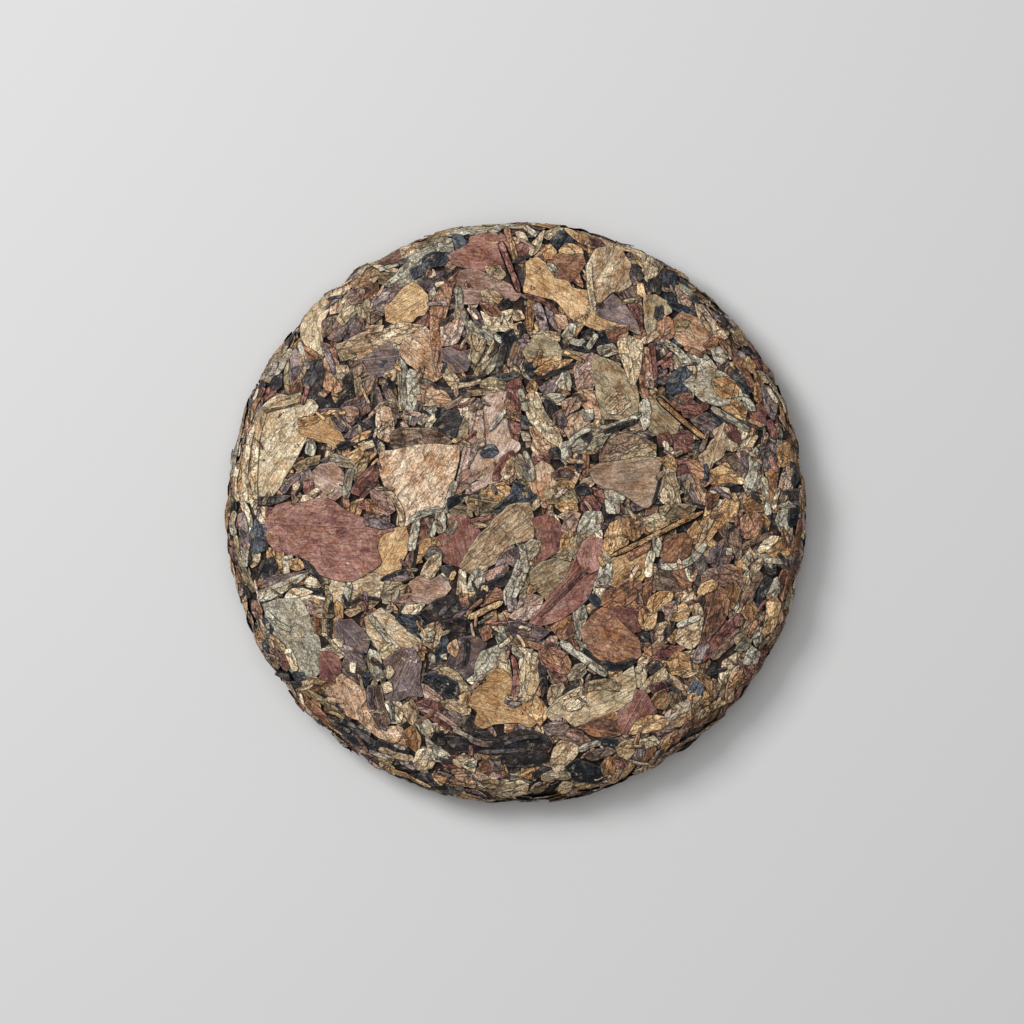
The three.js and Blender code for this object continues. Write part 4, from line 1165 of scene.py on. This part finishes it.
    ("peach", 0.75, "656,634 660,624 666,622 664,634 660,642"),
    ("charcoal", 0.45, "664,634 668,624 674,626 672,634 666,640"),
    ("ochre", 0.55, "668,640 676,630 680,636 674,644"),
    ("rose", 0.4, "662,608 674,602 676,610 666,614"),
    ("tan", 0.85, "676,640 680,628 690,622 702,618 700,630 698,642 690,648 680,644"),
    ("sage", 0.85, "678,626 688,621 700,617", 4),
    ("plum", 0.3, "650,655 664,646 684,648 676,652 660,660"),
    ("ochre", 0.5, "668,662 676,652 688,656 690,668 680,674 672,672"),
    ("khaki", 0.85, "636,668 644,664 646,676 642,688 636,686"),
    ("khaki", 0.75, "640,690 650,678 664,668 668,676 656,686 644,694"),
    ("charcoal", 0.6, "645,668 656,662 662,664 652,674"),
    ("plum", 0.3, "650,686 664,682 668,690 654,694"),
    ("ochre", 0.3, "650,706 656,694 664,690 670,700 664,708"),
    ("khaki", 0.2, "668,694 676,692 680,702 672,706"),
    ("tan", 0.4, "670,722 680,714 690,710 690,720 676,728"),
    ("sage", 0.8, "666,716 676,706 688,700 690,708 676,716 668,722"),
    ("russet", 0.55, "540,652 552,648 564,654 570,664 568,676 566,684 560,680 552,670 543,664"),
    ("plum", 0.55, "548,664 560,668 568,678 560,684 552,674"),
    ("sage", 0.5, "568,676 576,666 584,664 586,672 578,678 570,680"),
    ("sage", 0.85, "572,640 586,645 584,654 578,650"),
    ("tan", 0.75, "548,696 552,686 562,684 564,692 558,702 550,704"),
    ("charcoal", 0.4, "563,694 568,686 578,688 572,696 566,700"),
    ("cream", 0.3, "546,712 558,700 572,692 582,688 600,684 614,682 626,672 632,666 634,680 634,700 620,706 "
     "600,716 584,722 574,726 562,714 552,720"),
    ("cream", 0.5, "563,706 570,696 580,688 586,690 585,700 578,708 568,710"),
    ("khaki", 0.5, "586,690 590,682 606,680 620,684 618,690 604,688"),
    ("charcoal", 0.12, "584,650 594,660 608,667 622,665 634,660", 6),
    ("sage", 0.8, "561,642 578,654 596,668 606,674", 6),
    ("russet", 0.02, "580,728 596,720 612,712 618,722 620,734 604,738 590,732"),
    ("plum", 0.65, "620,710 634,702 636,690 644,692 652,704 656,712 644,718 632,728 630,734 622,732 618,722"),
    ("ochre", 0.85, "630,733 636,722 650,716 664,718 668,724 660,729 646,731"),
    ("rose", 0.35, "556,735 566,728 576,732 590,740 580,744 566,740"),
    ("mauve", 0.7, "544,726 556,722 568,726 562,734 548,734"),
    ("tan", 0.7, "552,766 554,750 562,742 572,744 579,748 574,758 566,764 562,772 556,772"),
    ("slate", 0.0, "566,768 578,760 592,766 602,770 606,778 596,783 576,781"),
    ("slate", 0.35, "598,738 610,738 618,744 612,750 600,744"),
    ("brown", 0.35, "584,756 596,750 608,748 616,752 604,758 592,760"),
    ("sage", 0.75, "580,750 590,745 600,743", 4),
    ("ochre", 0.3, "602,766 610,758 616,762 614,772 604,774"),
    ("plum", 0.5, "614,762 624,762 628,768 618,768"),
    ("tan", 0.3, "616,748 624,742 640,740 634,752 628,760 620,756"),
    ("khaki", 0.85, "640,742 654,738 660,744 650,752 640,750"),
    ("mauve", 0.5, "634,760 638,750 644,746 644,760 640,768"),
    ("russet", 0.0, "644,764 648,752 656,748 654,764"),
    ("ochre", 0.4, "660,756 670,742 680,732", 6),
    ("russet", 0.05, "672,742 682,732 690,722", 6),
    ("khaki", 0.6, "542,778 556,777 570,776", 6),
    # dark strips along the lower and right edges of broad leaves: painted shadow under those edges
    ("charcoal", 0.1, "351,606 354,600 368,599 381,600", 1.5),
    ("charcoal", 0.1, "382,580 392,575 404,571", 1.6),
    ("charcoal", 0.1, "661,465 662,473 658,483 653,503", 1.3),
    # what stands out most
    ("charcoal", 0.75, "275,675 282,677 289,677", 7, STALK_RISE),
    ("ochre", 0.95, "469,618 485,610 502,602", 5.5, STALK_RISE),
]

# %% Lay the rows
CRUMPLED = {"cream": 0.45, "peach": 0.5, "tan": 0.5, "khaki": 0.4, "russet": 0.45, "sage": 0.5}
ROW_THICK = 0.3
BROAD = 8
PLAIN_CRUMPLE = 0.3
SMALL_CRUMPLE = 0.75
ROW_SEED = 7715
rng = np.random.default_rng(ROW_SEED)
for tone, shade, words, *form in SHOWN:
    if form:
        width, rise = (*form, STRIP_RISE)[:2]
        across = width * MM_PER_PIXEL * NEARER
        sides = strip_sides(places_of(words), across)
        arch = across * rise
    else:
        sides = piece_sides(places_of(words))
        arch = 0.0
    span = np.hypot(*(sides[1] - sides[0]).T).max()
    grown = 0.15 if form else min(0.4, 0.1 + 0.05 * span)
    cell = np.clip(span / 5, 0.5, 0.75)
    leaf = new_leaf(rng, sides, tone, shade, grown=grown, cell=cell, stiff=3.0, arch=arch, thick=ROW_THICK)
    leaf["broken"] = CRUMPLED.get(tone, PLAIN_CRUMPLE) if leaf["width"] > BROAD else SMALL_CRUMPLE
    lay(leaf)
print(len(SHOWN), "leaves laid by hand")

# %% [markdown]
# Thin shreds lie between the small leaves and over their edges. The broad leaves that lie on top
# are clean, so a shred that would fall on one is left out.

# %% Shreds
SHREDS = 500
SHRED_LENGTHS = (2.5, 7.5)
SHRED_WIDTHS = (0.5, 1.2)
SHRED_RISE = 0.15
SHRED_SEED = 52
rng = np.random.default_rng(SHRED_SEED)
for _ in range(SHREDS):
    out = (EQUATOR - 1) * math.sqrt(rng.uniform())
    angle = rng.uniform(0, 2 * math.pi)
    turn = rng.uniform(0, 2 * math.pi) if out < ALONG_RIM else angle + math.pi / 2 + rng.normal(0, 0.4)
    x, y = out * math.cos(angle), out * math.sin(angle)
    length, width = rng.uniform(*SHRED_LENGTHS), rng.uniform(*SHRED_WIDTHS)
    tone, shade = TONES[rng.choice(len(TONES), p=CHANCES)], rng.uniform(0.1, 0.9)
    sides = strip_sides(torn_strip(rng, x, y, length, turn), width)
    leaf = new_leaf(rng, sides, tone, shade, grown=0.0, cell=0.7, arch=width * SHRED_RISE, stiff=1.6)
    if breadth["face"][int((y + MAP_REACH) / CELL), int((x + MAP_REACH) / CELL)] < CLEAN_WIDTH:
        lay(leaf)

# %% [markdown]
# ## Pressing
# Where many leaves lie on each other the heap is too high. The press takes that away: the broad
# swells of the map are subtracted, and only what differs from leaf to leaf stays as relief.

# %% Press the heap
FACE_LIFT = 0.75
PRESS = 7.0 / CELL
# reaches, in cells, of the smoothed heaps against which the painted shade is measured
SHADE_NEAR_REACH = 0.5 / CELL
SHADE_FAR_REACH = 2.5 / CELL
pressed = {}
for side, grid in heap.items():
    swell = soften(grid, PRESS)
    pressed[side] = {
        "swell": swell,
        "top": grid,
        "near": soften(grid, SHADE_NEAR_REACH),
        "far": soften(grid, SHADE_FAR_REACH),
    }
    print(side, "relief after pressing is", np.round(np.percentile(grid - swell, [2, 50, 98]), 2), "mm")

# %% Turn each laid leaf into vertices in space
TOUCHING = 0.12  # a place this near to the top of the heap shows
SHOWING = 0.04  # a leaf of which a smaller share shows is left out
LOWEST = -1.6
HIGHEST = 1.25
NEAR_FALL = 0.7
FAR_FALL = 1.4
DARKEST_PAINTED_SHADE = 0.8
BACK_PLANE = 0.02
BACK_SPREAD = 0.3
parts = {}
hidden = 0
for leaf in laid:
    maps = pressed[leaf["side"]]
    x, y, height = leaf["vx"], leaf["vy"], leaf["height"]
    top = read_map(maps["top"], x, y)
    if (height > top - TOUCHING).mean() < SHOWING:
        hidden += 1
        continue
    lift = FACE_LIFT + np.clip(height - read_map(maps["swell"], x, y), LOWEST, HIGHEST)
    lift = np.where(leaf["below"], lift - 0.5 * leaf["thick"], lift)
    places = skin(x, y, lift, leaf["side"])
    if leaf["side"] == "back":
        places[:, 2] = np.maximum(places[:, 2], BACK_PLANE + BACK_SPREAD * leaf["patch"])
    # Painted shade: a leaf is darkened toward near-black where it lies lower than the heap round it, in gaps
    # and beside the edges of leaves above it; undersides and skirts get the full painted shade.
    painted_shade = np.clip((read_map(maps["near"], x, y) - height) / NEAR_FALL, 0, 1) * DARKEST_PAINTED_SHADE
    painted_shade = np.maximum(painted_shade, np.clip((read_map(maps["far"], x, y) - height) / FAR_FALL, 0, 1) * DARKEST_PAINTED_SHADE)
    painted_shade = np.where(leaf["below"], 1.0, painted_shade)
    part = parts.setdefault(leaf["tone"], {k: [] for k in ("co", "faces", "level", "facts", "uv", "count")})
    start = sum(part["count"])
    part["co"].append(places * TO_METRES)
    part["faces"].append(leaf["faces"] + start)
    part["level"].append(leaf["level"])
    part["uv"].append(np.stack([leaf["u"], leaf["w"]], 1))
    flat = np.ones(len(x))
    part["facts"].append(np.stack(
        [flat * leaf["shade"], flat * leaf["patch"], leaf["rim"], painted_shade, flat * leaf["broken"], leaf["rib"]],
        1,
    ))
    part["count"].append(len(x))
print(hidden, "leaves are wholly hidden and left out")

# %% [markdown]
# ## Finishes
# Dried leaf is matte. Its colour changes from leaf to leaf and within a leaf: blotches, a fine
# speckle, and thin wrinkles that run along it. Broad leaves are smooth, and small crumpled
# pieces carry more of the speckle. All leaves share one recipe, and each tone gives it three
# shades and a second colour. The wrinkles follow the leaf's own UV map, which holds its length
# and width in millimetres, so that they turn with the leaf. The recipe also paints light and
# shade: painted shade in the creases' troughs and painted highlight on their crests, a painted
# highlight along every edge, and near-black painted shade in the cracks, under the edges and
# where a leaf lies lower than the leaves round it.


# %% Node helpers
def srgb(red, green, blue):
    """A colour as Blender wants it, from the numbers that a picture shows"""
    shares = [v / 255 for v in (red, green, blue)]
    return tuple(s / 12.92 if s <= 0.04045 else ((s + 0.055) / 1.055) ** 2.4 for s in shares) + (1,)


def node(tree, kind, settings=None, **sockets):
    """A node with its settings and its inputs: a value sets one, another node's output links it"""
    made = tree.nodes.new(kind)
    for name, value in (settings or {}).items():
        setattr(made, name, value)
    for name, value in sockets.items():
        key = int(name[1:]) if name[0] == "_" and name[1:].isdigit() else name.replace("_", " ")
        if isinstance(value, bpy.types.NodeSocket):
            tree.links.new(value, made.inputs[key])
        else:
            made.inputs[key].default_value = value
    return made


def ramp(tree, factor, stops):
    """A colour ramp with the given stops"""
    made = node(tree, "ShaderNodeValToRGB", None, Fac=factor)
    elements = made.color_ramp.elements
    while len(elements) < len(stops):
        elements.new(0.5)
    for element, (place, colour) in zip(elements, stops):
        element.position = place
        element.color = colour if isinstance(colour, tuple) else (colour, colour, colour, 1)
    return made.outputs["Color"]


def mixed(tree, factor, first, second, blend="MIX"):
    """Two colours mixed"""
    made = tree.nodes.new("ShaderNodeMix")
    made.data_type = "RGBA"
    made.blend_type = blend
    for index, value in ((0, factor), (6, first), (7, second)):
        if isinstance(value, bpy.types.NodeSocket):
            tree.links.new(value, made.inputs[index])
        else:
            made.inputs[index].default_value = value
    return made.outputs[2]


def maths(tree, operation, first, second=None, clamp=False):
    """A sum on one or two values"""
    made = tree.nodes.new("ShaderNodeMath")
    made.operation = operation
    made.use_clamp = clamp
    for index, value in enumerate((first, second)):
        if value is None:
            continue
        if isinstance(value, bpy.types.NodeSocket):
            tree.links.new(value, made.inputs[index])
        else:
            made.inputs[index].default_value = value
    return made.outputs[0]


def noise(tree, vector, scale, detail=2.0, rough=0.5):
    """A noise pattern's value"""
    made = node(tree, "ShaderNodeTexNoise", None, Vector=vector, Scale=scale, Detail=detail, Roughness=rough)
    return made.outputs["Fac"]


def fact(tree, name):
    """A number that each leaf carries"""
    made = tree.nodes.new("ShaderNodeAttribute")
    made.attribute_name = name
    return made.outputs["Fac"]


# %% The dried leaf
PALETTE = {
    "tan": ((108, 86, 66), (162, 136, 106), (212, 192, 160), (146, 104, 68)),
    "ochre": ((104, 76, 52), (168, 130, 88), (216, 182, 136), (156, 104, 64)),
    "peach": ((122, 90, 70), (178, 142, 112), (220, 196, 166), (172, 118, 80)),
    "rose": ((104, 78, 70), (152, 122, 108), (200, 176, 158), (148, 106, 76)),
    "plum": ((64, 40, 40), (115, 73, 67), (168, 125, 112), (144, 96, 68)),
    "mauve": ((62, 52, 54), (108, 92, 92), (158, 140, 136), (132, 104, 82)),
    "russet": ((80, 54, 44), (134, 94, 74), (188, 146, 116), (164, 116, 74)),
    "charcoal": ((20, 18, 20), (47, 44, 47), (98, 93, 91), (80, 64, 55)),
    "slate": ((19, 22, 27), (44, 48, 56), (96, 101, 107), (62, 58, 57)),
    "sage": ((82, 77, 66), (134, 127, 110), (192, 185, 165), (150, 124, 92)),
    "khaki": ((82, 72, 56), (136, 119, 92), (188, 172, 140), (148, 110, 72)),
    "cream": ((142, 124, 96), (198, 177, 144), (236, 222, 192), (184, 150, 108)),
    "brown": ((72, 58, 50), (116, 96, 82), (166, 142, 120), (130, 98, 72)),
}
# the near-black of painted shade in cracks, gaps and under leaf edges
CREVICE_SHADE = srgb(17, 14, 15)
GRAIN_SCALE = 2300.0
SPECKLE_SCALE = 1100.0
BLOTCH_SCALE = 190.0
STAIN_SCALE = 140.0
PATCH_SCALE = 260.0
DOWN_SCALE = 330.0
# size of the patches of painted shadow round the leaf edges
EDGE_SHADE_SCALE = 180.0
MATTE = 0.2
BUMP_DEPTH = 0.0008


def dried_leaf(name, dark, middle, light, second):
    """The finish of a leaf of one tone"""
    made = bpy.data.materials.new(name)
    made.use_nodes = True
    tree = made.node_tree
    shader = tree.nodes["Principled BSDF"]
    place = tree.nodes.new("ShaderNodeTexCoord").outputs["Object"]
    leaf_map = node(tree, "ShaderNodeUVMap", {"uv_map": "leaf"}).outputs["UV"]
    blotch = noise(tree, place, BLOTCH_SCALE, 3.0, 0.6)
    speckle = noise(tree, place, SPECKLE_SCALE, 2.0, 0.6)
    grain = noise(tree, place, GRAIN_SCALE, 1.0, 0.5)
    stretched = node(
        tree, "ShaderNodeMapping", None, Vector=leaf_map, Scale=(0.22, 1.0, 1.0),
    ).outputs["Vector"]
    wrinkle = noise(tree, stretched, 1.5, 3.0, 0.65)
    lines = noise(tree, stretched, 0.55, 2.0, 0.5)

    # folds and cracks: cells that are longer along the leaf, with a dark line between two cells that is
    # painted shade in the crack
    warp = node(tree, "ShaderNodeTexNoise", None, Vector=leaf_map, Scale=0.35, Detail=2.0)
    warped = node(
        tree, "ShaderNodeVectorMath", {"operation": "MULTIPLY_ADD"},
        _0=warp.outputs["Color"], _1=(4.0, 4.0, 0.0), _2=leaf_map,
    ).outputs["Vector"]
    squeezed = node(
        tree, "ShaderNodeMapping", None, Vector=warped, Scale=(0.45, 1.0, 1.0),
    ).outputs["Vector"]
    cells = node(tree, "ShaderNodeTexVoronoi", {"feature": "F1"}, Vector=squeezed, Scale=0.3)
    gaps = node(
        tree, "ShaderNodeTexVoronoi", {"feature": "DISTANCE_TO_EDGE"}, Vector=squeezed, Scale=0.3,
    ).outputs["Distance"]
    cell_shade = node(tree, "ShaderNodeSeparateColor", None, Color=cells.outputs["Color"]).outputs[0]
    broken = fact(tree, "broken")
    line = ramp(tree, gaps, [(0.0, 1.0), (0.03, 0.9), (0.06, 0.0)])
    line = maths(tree, "MULTIPLY", line, broken)

    def swing(value, size):
        """A pattern about zero, times a size"""
        return maths(tree, "MULTIPLY", maths(tree, "SUBTRACT", value, 0.5), size)

    tone = maths(tree, "ADD", fact(tree, "shade"), swing(blotch, 1.5))
    creased = maths(tree, "ADD", maths(tree, "MULTIPLY", broken, 0.7), 0.4)
    tone = maths(tree, "ADD", tone, maths(tree, "MULTIPLY", swing(wrinkle, 1.7), creased))
    tone = maths(tree, "ADD", tone, maths(tree, "MULTIPLY", swing(cell_shade, 0.6), broken), clamp=True)
    colour = ramp(tree, tone, [(0.0, srgb(*dark)), (0.44, srgb(*middle)), (1.0, srgb(*light))])
    patches = ramp(tree, noise(tree, place, PATCH_SCALE, 3.0, 0.6), [(0.5, 0.0), (0.62, 1.0)])
    share = maths(tree, "ADD", maths(tree, "MULTIPLY", fact(tree, "patch"), 0.5), 0.25)
    amount = maths(tree, "MULTIPLY", patches, share)
    colour = mixed(tree, amount, colour, srgb(*second))
    stains = ramp(
        tree, noise(tree, place, STAIN_SCALE, 4.0, 0.65),
        [(0.36, (0.82, 0.68, 0.54, 1)), (0.5, (1.0, 1.01, 1.05, 1)), (0.64, (1.13, 1.16, 1.2, 1))],
    )
    colour = mixed(tree, 0.75, colour, stains, "MULTIPLY")
    down = ramp(tree, noise(tree, place, DOWN_SCALE, 3.0, 0.7), [(0.56, 0.0), (0.7, 0.5)])
    colour = mixed(tree, down, colour, srgb(176, 162, 134))
    grainy = maths(tree, "ADD", maths(tree, "MULTIPLY", broken, 0.7), 0.17)
    flecks = ramp(tree, speckle, [(0.3, 0.45), (0.5, 1.0), (0.7, 1.6)])
    colour = mixed(tree, grainy, colour, flecks, "MULTIPLY")
    grains = ramp(tree, grain, [(0.3, 0.2), (0.5, 1.0), (0.7, 2.0)])
    colour = mixed(tree, grainy, colour, grains, "MULTIPLY")
    # Thin creases along the leaf: painted shade in a dark trough between lighter flanks, and painted
    # highlight on the crests; the same pattern raises the bump.
    crease_shade_and_highlight = ramp(tree, lines, [(0.4, 1.08), (0.47, 0.86), (0.5, 0.3), (0.53, 0.86), (0.6, 1.12)])
    colour = mixed(tree, maths(tree, "MULTIPLY", creased, 0.6), colour, crease_shade_and_highlight, "MULTIPLY")
    across = maths(tree, "ABSOLUTE", fact(tree, "rib"))
    midrib = ramp(tree, maths(tree, "MULTIPLY", across, 0.5), [(0.0, 1.0), (0.09, 0.8), (0.17, 0.0)])
    lengthwise = node(tree, "ShaderNodeSeparateXYZ", None, Vector=warped).outputs["X"]
    slant = maths(
        tree, "SUBTRACT", maths(tree, "MULTIPLY", lengthwise, 0.42), maths(tree, "MULTIPLY", across, 0.34),
    )
    beat = maths(tree, "ABSOLUTE", maths(tree, "SUBTRACT", maths(tree, "FRACT", slant), 0.5))
    veins = ramp(tree, beat, [(0.0, 0.55), (0.07, 0.25), (0.12, 0.0)])
    ribbed = maths(tree, "LESS_THAN", across, 0.5 * NO_RIB)
    colour = mixed(tree, maths(tree, "MULTIPLY", veins, ribbed), colour, srgb(*dark))
    colour = mixed(tree, maths(tree, "MULTIPLY", midrib, 0.6), colour, srgb(*light))
    rim = maths(tree, "MULTIPLY", fact(tree, "rim"), 0.5)
    # A paler lip along every leaf edge and skirt: painted highlight on the edges.
    colour = mixed(tree, ramp(tree, rim, [(0.25, 0.0), (0.5, 0.3)]), colour, srgb(*light))
    # Painted shade: the lines between the cells are darkened toward near-black, more on crumpled leaves.
    colour = mixed(tree, maths(tree, "MULTIPLY", line, 0.85), colour, CREVICE_SHADE)
    # Painted shade: near-black where the leaf lies lower than its neighbours, and on every underside and
    # skirt.
    painted_shade = ramp(tree, fact(tree, "painted_shade"), [(0.25, 0.0), (0.9, 1.0)])
    colour = mixed(tree, maths(tree, "MULTIPLY", painted_shade, 0.93), colour, CREVICE_SHADE)
    # The skirt round each edge is painted near-black in broken patches: partly a dark torn edge, partly
    # painted shadow under the edge.
    ring = ramp(tree, rim, [(0.56, 0.0), (0.68, 0.75)])
    edge_shade_patches = ramp(tree, noise(tree, place, EDGE_SHADE_SCALE, 2.0, 0.5), [(0.46, 0.08), (0.56, 0.9)])
    colour = mixed(tree, maths(tree, "MULTIPLY", ring, edge_shade_patches), colour, CREVICE_SHADE)
    tree.links.new(colour, shader.inputs["Base Color"])
    shader.inputs["Specular IOR Level"].default_value = MATTE
    rough = ramp(tree, speckle, [(0.3, 0.62), (0.7, 0.86)])
    tree.links.new(rough, shader.inputs["Roughness"])
    heights = maths(tree, "ADD", maths(tree, "MULTIPLY", wrinkle, 0.6), maths(tree, "MULTIPLY", speckle, 0.3))
    heights = maths(tree, "ADD", heights, maths(tree, "MULTIPLY", crease_shade_and_highlight, 0.3))
    heights = maths(tree, "SUBTRACT", heights, maths(tree, "MULTIPLY", line, 0.5))
    heights = maths(tree, "ADD", heights, maths(tree, "MULTIPLY", midrib, 0.4))
    bump = node(tree, "ShaderNodeBump", None, Height=heights, Strength=0.9, Distance=BUMP_DEPTH)
    tree.links.new(bump.outputs["Normal"], shader.inputs["Normal"])
    return made


finishes = {tone: dried_leaf(f"dried_leaf_{tone}", *shades) for tone, shades in PALETTE.items()}
print(len(finishes), "leaf finishes")


# %% Join the leaves of each tone into one piece
def joined(name, part, finish):
    """One object from many leaves' arrays"""
    mesh = bpy.data.meshes.new(name)
    faces = np.concatenate(part["faces"])
    mesh.from_pydata(np.concatenate(part["co"]), [], faces)
    mesh.polygons.foreach_set("use_smooth", np.concatenate(part["level"]))
    corners = np.zeros(len(mesh.loops), int)
    mesh.loops.foreach_get("vertex_index", corners)
    uv = mesh.uv_layers.new(name="leaf")
    uv.data.foreach_set("uv", np.concatenate(part["uv"])[corners].astype(np.float32).ravel())
    facts = np.concatenate(part["facts"]).astype(np.float32)
    for column, word in enumerate(("shade", "patch", "rim", "painted_shade", "broken", "rib")):
        mesh.attributes.new(word, "FLOAT", "POINT").data.foreach_set("value", facts[:, column].copy())
    mesh.materials.append(finish)
    mesh.validate()
    mesh.update()
    piece = bpy.data.objects.new(name, mesh)
    bpy.context.scene.collection.objects.link(piece)
    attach(piece, "root")
    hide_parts("tea_cake")
    print(name, len(part["faces"]), "leaves,", 2 * len(faces), "triangles")
    return piece


for tone in TONES:
    joined(f"{tone}_leaves", parts[tone], finishes[tone])

# %% [markdown]
# ## The core
# Between the leaves one looks down into dust and stems that lie too far down and in too much
# shade to tell apart. The core closes those gaps. It is the half section spun round, set a little
# below the lowest leaves, and bumped so that no gap shows a flat floor. Its near-black colour is
# partly the dust's own and partly painted shade of the gaps.

# %% Spin the core
CORE_LIFT = -0.85
CORE_STEP = 2.2
CORE_TURNS = 240
MERGE_DISTANCE = 1e-6
DUST_SCALE = 520.0


def spun_core():
    """The half section, set lower and spun round"""
    shape = bmesh.new()
    places = np.arange(0, SECTION_LENGTH, CORE_STEP)
    ring = []
    for at in list(places) + [SECTION_LENGTH]:
        x, _, z = skin(np.array([at]), np.array([0.0]), np.array([CORE_LIFT]), "face")[0]
        ring.append(shape.verts.new((max(x, 0) * TO_METRES, 0, z * TO_METRES)))
    for first, second in zip(ring, ring[1:]):
        shape.edges.new((first, second))
    bmesh.ops.spin(
        shape, geom=shape.verts[:] + shape.edges[:], axis=(0, 0, 1), cent=(0, 0, 0),
        angle=2 * math.pi, steps=CORE_TURNS, use_merge=True,
    )
    bmesh.ops.remove_doubles(shape, verts=shape.verts[:], dist=MERGE_DISTANCE)
    bmesh.ops.recalc_face_normals(shape, faces=shape.faces[:])
    mesh = bpy.data.meshes.new("pressed_core")
    shape.to_mesh(mesh)
    shape.free()
    return mesh


def dust_and_painted_shade():
    """Broken leaf and dust that show between the leaves, dark partly by their own colour and partly as
    painted shade of the gaps
    """
    made = bpy.data.materials.new("dust_and_painted_shade")
    made.use_nodes = True
    tree = made.node_tree
    shader = tree.nodes["Principled BSDF"]
    place = tree.nodes.new("ShaderNodeTexCoord").outputs["Object"]
    grains = noise(tree, place, DUST_SCALE, 4.0, 0.7)
    colour = ramp(
        tree, grains, [(0.35, srgb(20, 16, 15)), (0.55, srgb(46, 36, 32)), (0.75, srgb(96, 76, 58))],
    )
    tree.links.new(colour, shader.inputs["Base Color"])
    shader.inputs["Roughness"].default_value = 0.9
    shader.inputs["Specular IOR Level"].default_value = MATTE
    bump = node(tree, "ShaderNodeBump", None, Height=grains, Strength=0.8, Distance=BUMP_DEPTH)
    tree.links.new(bump.outputs["Normal"], shader.inputs["Normal"])
    return made


core_mesh = spun_core()
core_mesh.materials.append(dust_and_painted_shade())
core_mesh.polygons.foreach_set("use_smooth", np.ones(len(core_mesh.polygons), bool))
core = bpy.data.objects.new("pressed_core", core_mesh)
bpy.context.scene.collection.objects.link(core)
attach(core, "root")
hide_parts("tea_cake")
print("the core has", len(core_mesh.polygons), "faces")

# %% [markdown]
# ## Floor, light and camera
# The cake lies on pale grey paper. A soft lamp stands to the upper left, so that the rim throws
# a soft shadow to the lower right. A broader one above, and a weak even light from all round,
# open the shadows. The camera looks straight down, and the cake takes the same part of the
# frame as in the photograph.

# %% Floor
FLOOR_SIZE = 3.0
floor_mesh = bpy.data.meshes.new("pale_floor")
shape = bmesh.new()
bmesh.ops.create_grid(shape, x_segments=1, y_segments=1, size=FLOOR_SIZE / 2)
shape.to_mesh(floor_mesh)
shape.free()
floor_finish = bpy.data.materials.new("pale_paper")
floor_finish.use_nodes = True
paper = floor_finish.node_tree.nodes["Principled BSDF"]
paper.inputs["Base Color"].default_value = srgb(196, 196, 196)
paper.inputs["Roughness"].default_value = 0.9
paper.inputs["Specular IOR Level"].default_value = 0.1
floor_mesh.materials.append(floor_finish)
floor = bpy.data.objects.new("pale_floor", floor_mesh)
bpy.context.scene.collection.objects.link(floor)

# %% Light
ROUND_LIGHT = 0.22
world = bpy.data.worlds.new("studio")
bpy.context.scene.world = world
world.use_nodes = True
world.node_tree.nodes["Background"].inputs["Color"].default_value = (1.0, 1.0, 1.0, 1)
world.node_tree.nodes["Background"].inputs["Strength"].default_value = ROUND_LIGHT


def lamp(name, place, size, power):
    """A square soft lamp that looks at the cake"""
    data = bpy.data.lights.new(name, "AREA")
    data.shape = "SQUARE"
    data.size = size
    data.energy = power
    made = bpy.data.objects.new(name, data)
    bpy.context.scene.collection.objects.link(made)
    made.location = place
    aim = -made.location.normalized()
    made.rotation_euler = aim.to_track_quat("-Z", "Y").to_euler()
    return made


lamp("key", (-0.8, 0.6, 1.25), 0.6, 19.5)
lamp("sky", (-0.2, 0.2, 2.1), 1.8, 22.5)

# %% Camera
CAMERA_HEIGHT = 1.5
FRAME_PIXELS = 1024
frame_width = FRAME_PIXELS * MM_PER_PIXEL * TO_METRES
camera_data = bpy.data.cameras.new("overhead")
camera_data.sensor_width = 36.0
camera_data.lens = camera_data.sensor_width * CAMERA_HEIGHT / frame_width
camera = bpy.data.objects.new("overhead", camera_data)
bpy.context.scene.collection.objects.link(camera)
half_frame = FRAME_PIXELS / 2
camera.location = (
    (half_frame - PHOTO_CENTRE[0]) * MM_PER_PIXEL * TO_METRES,
    (PHOTO_CENTRE[1] - half_frame) * MM_PER_PIXEL * TO_METRES,
    MIDDLE_Z * TO_METRES + CAMERA_HEIGHT,
)
bpy.context.scene.camera = camera
bpy.context.scene.view_settings.view_transform = "Standard"
bpy.context.scene.view_settings.look = "None"
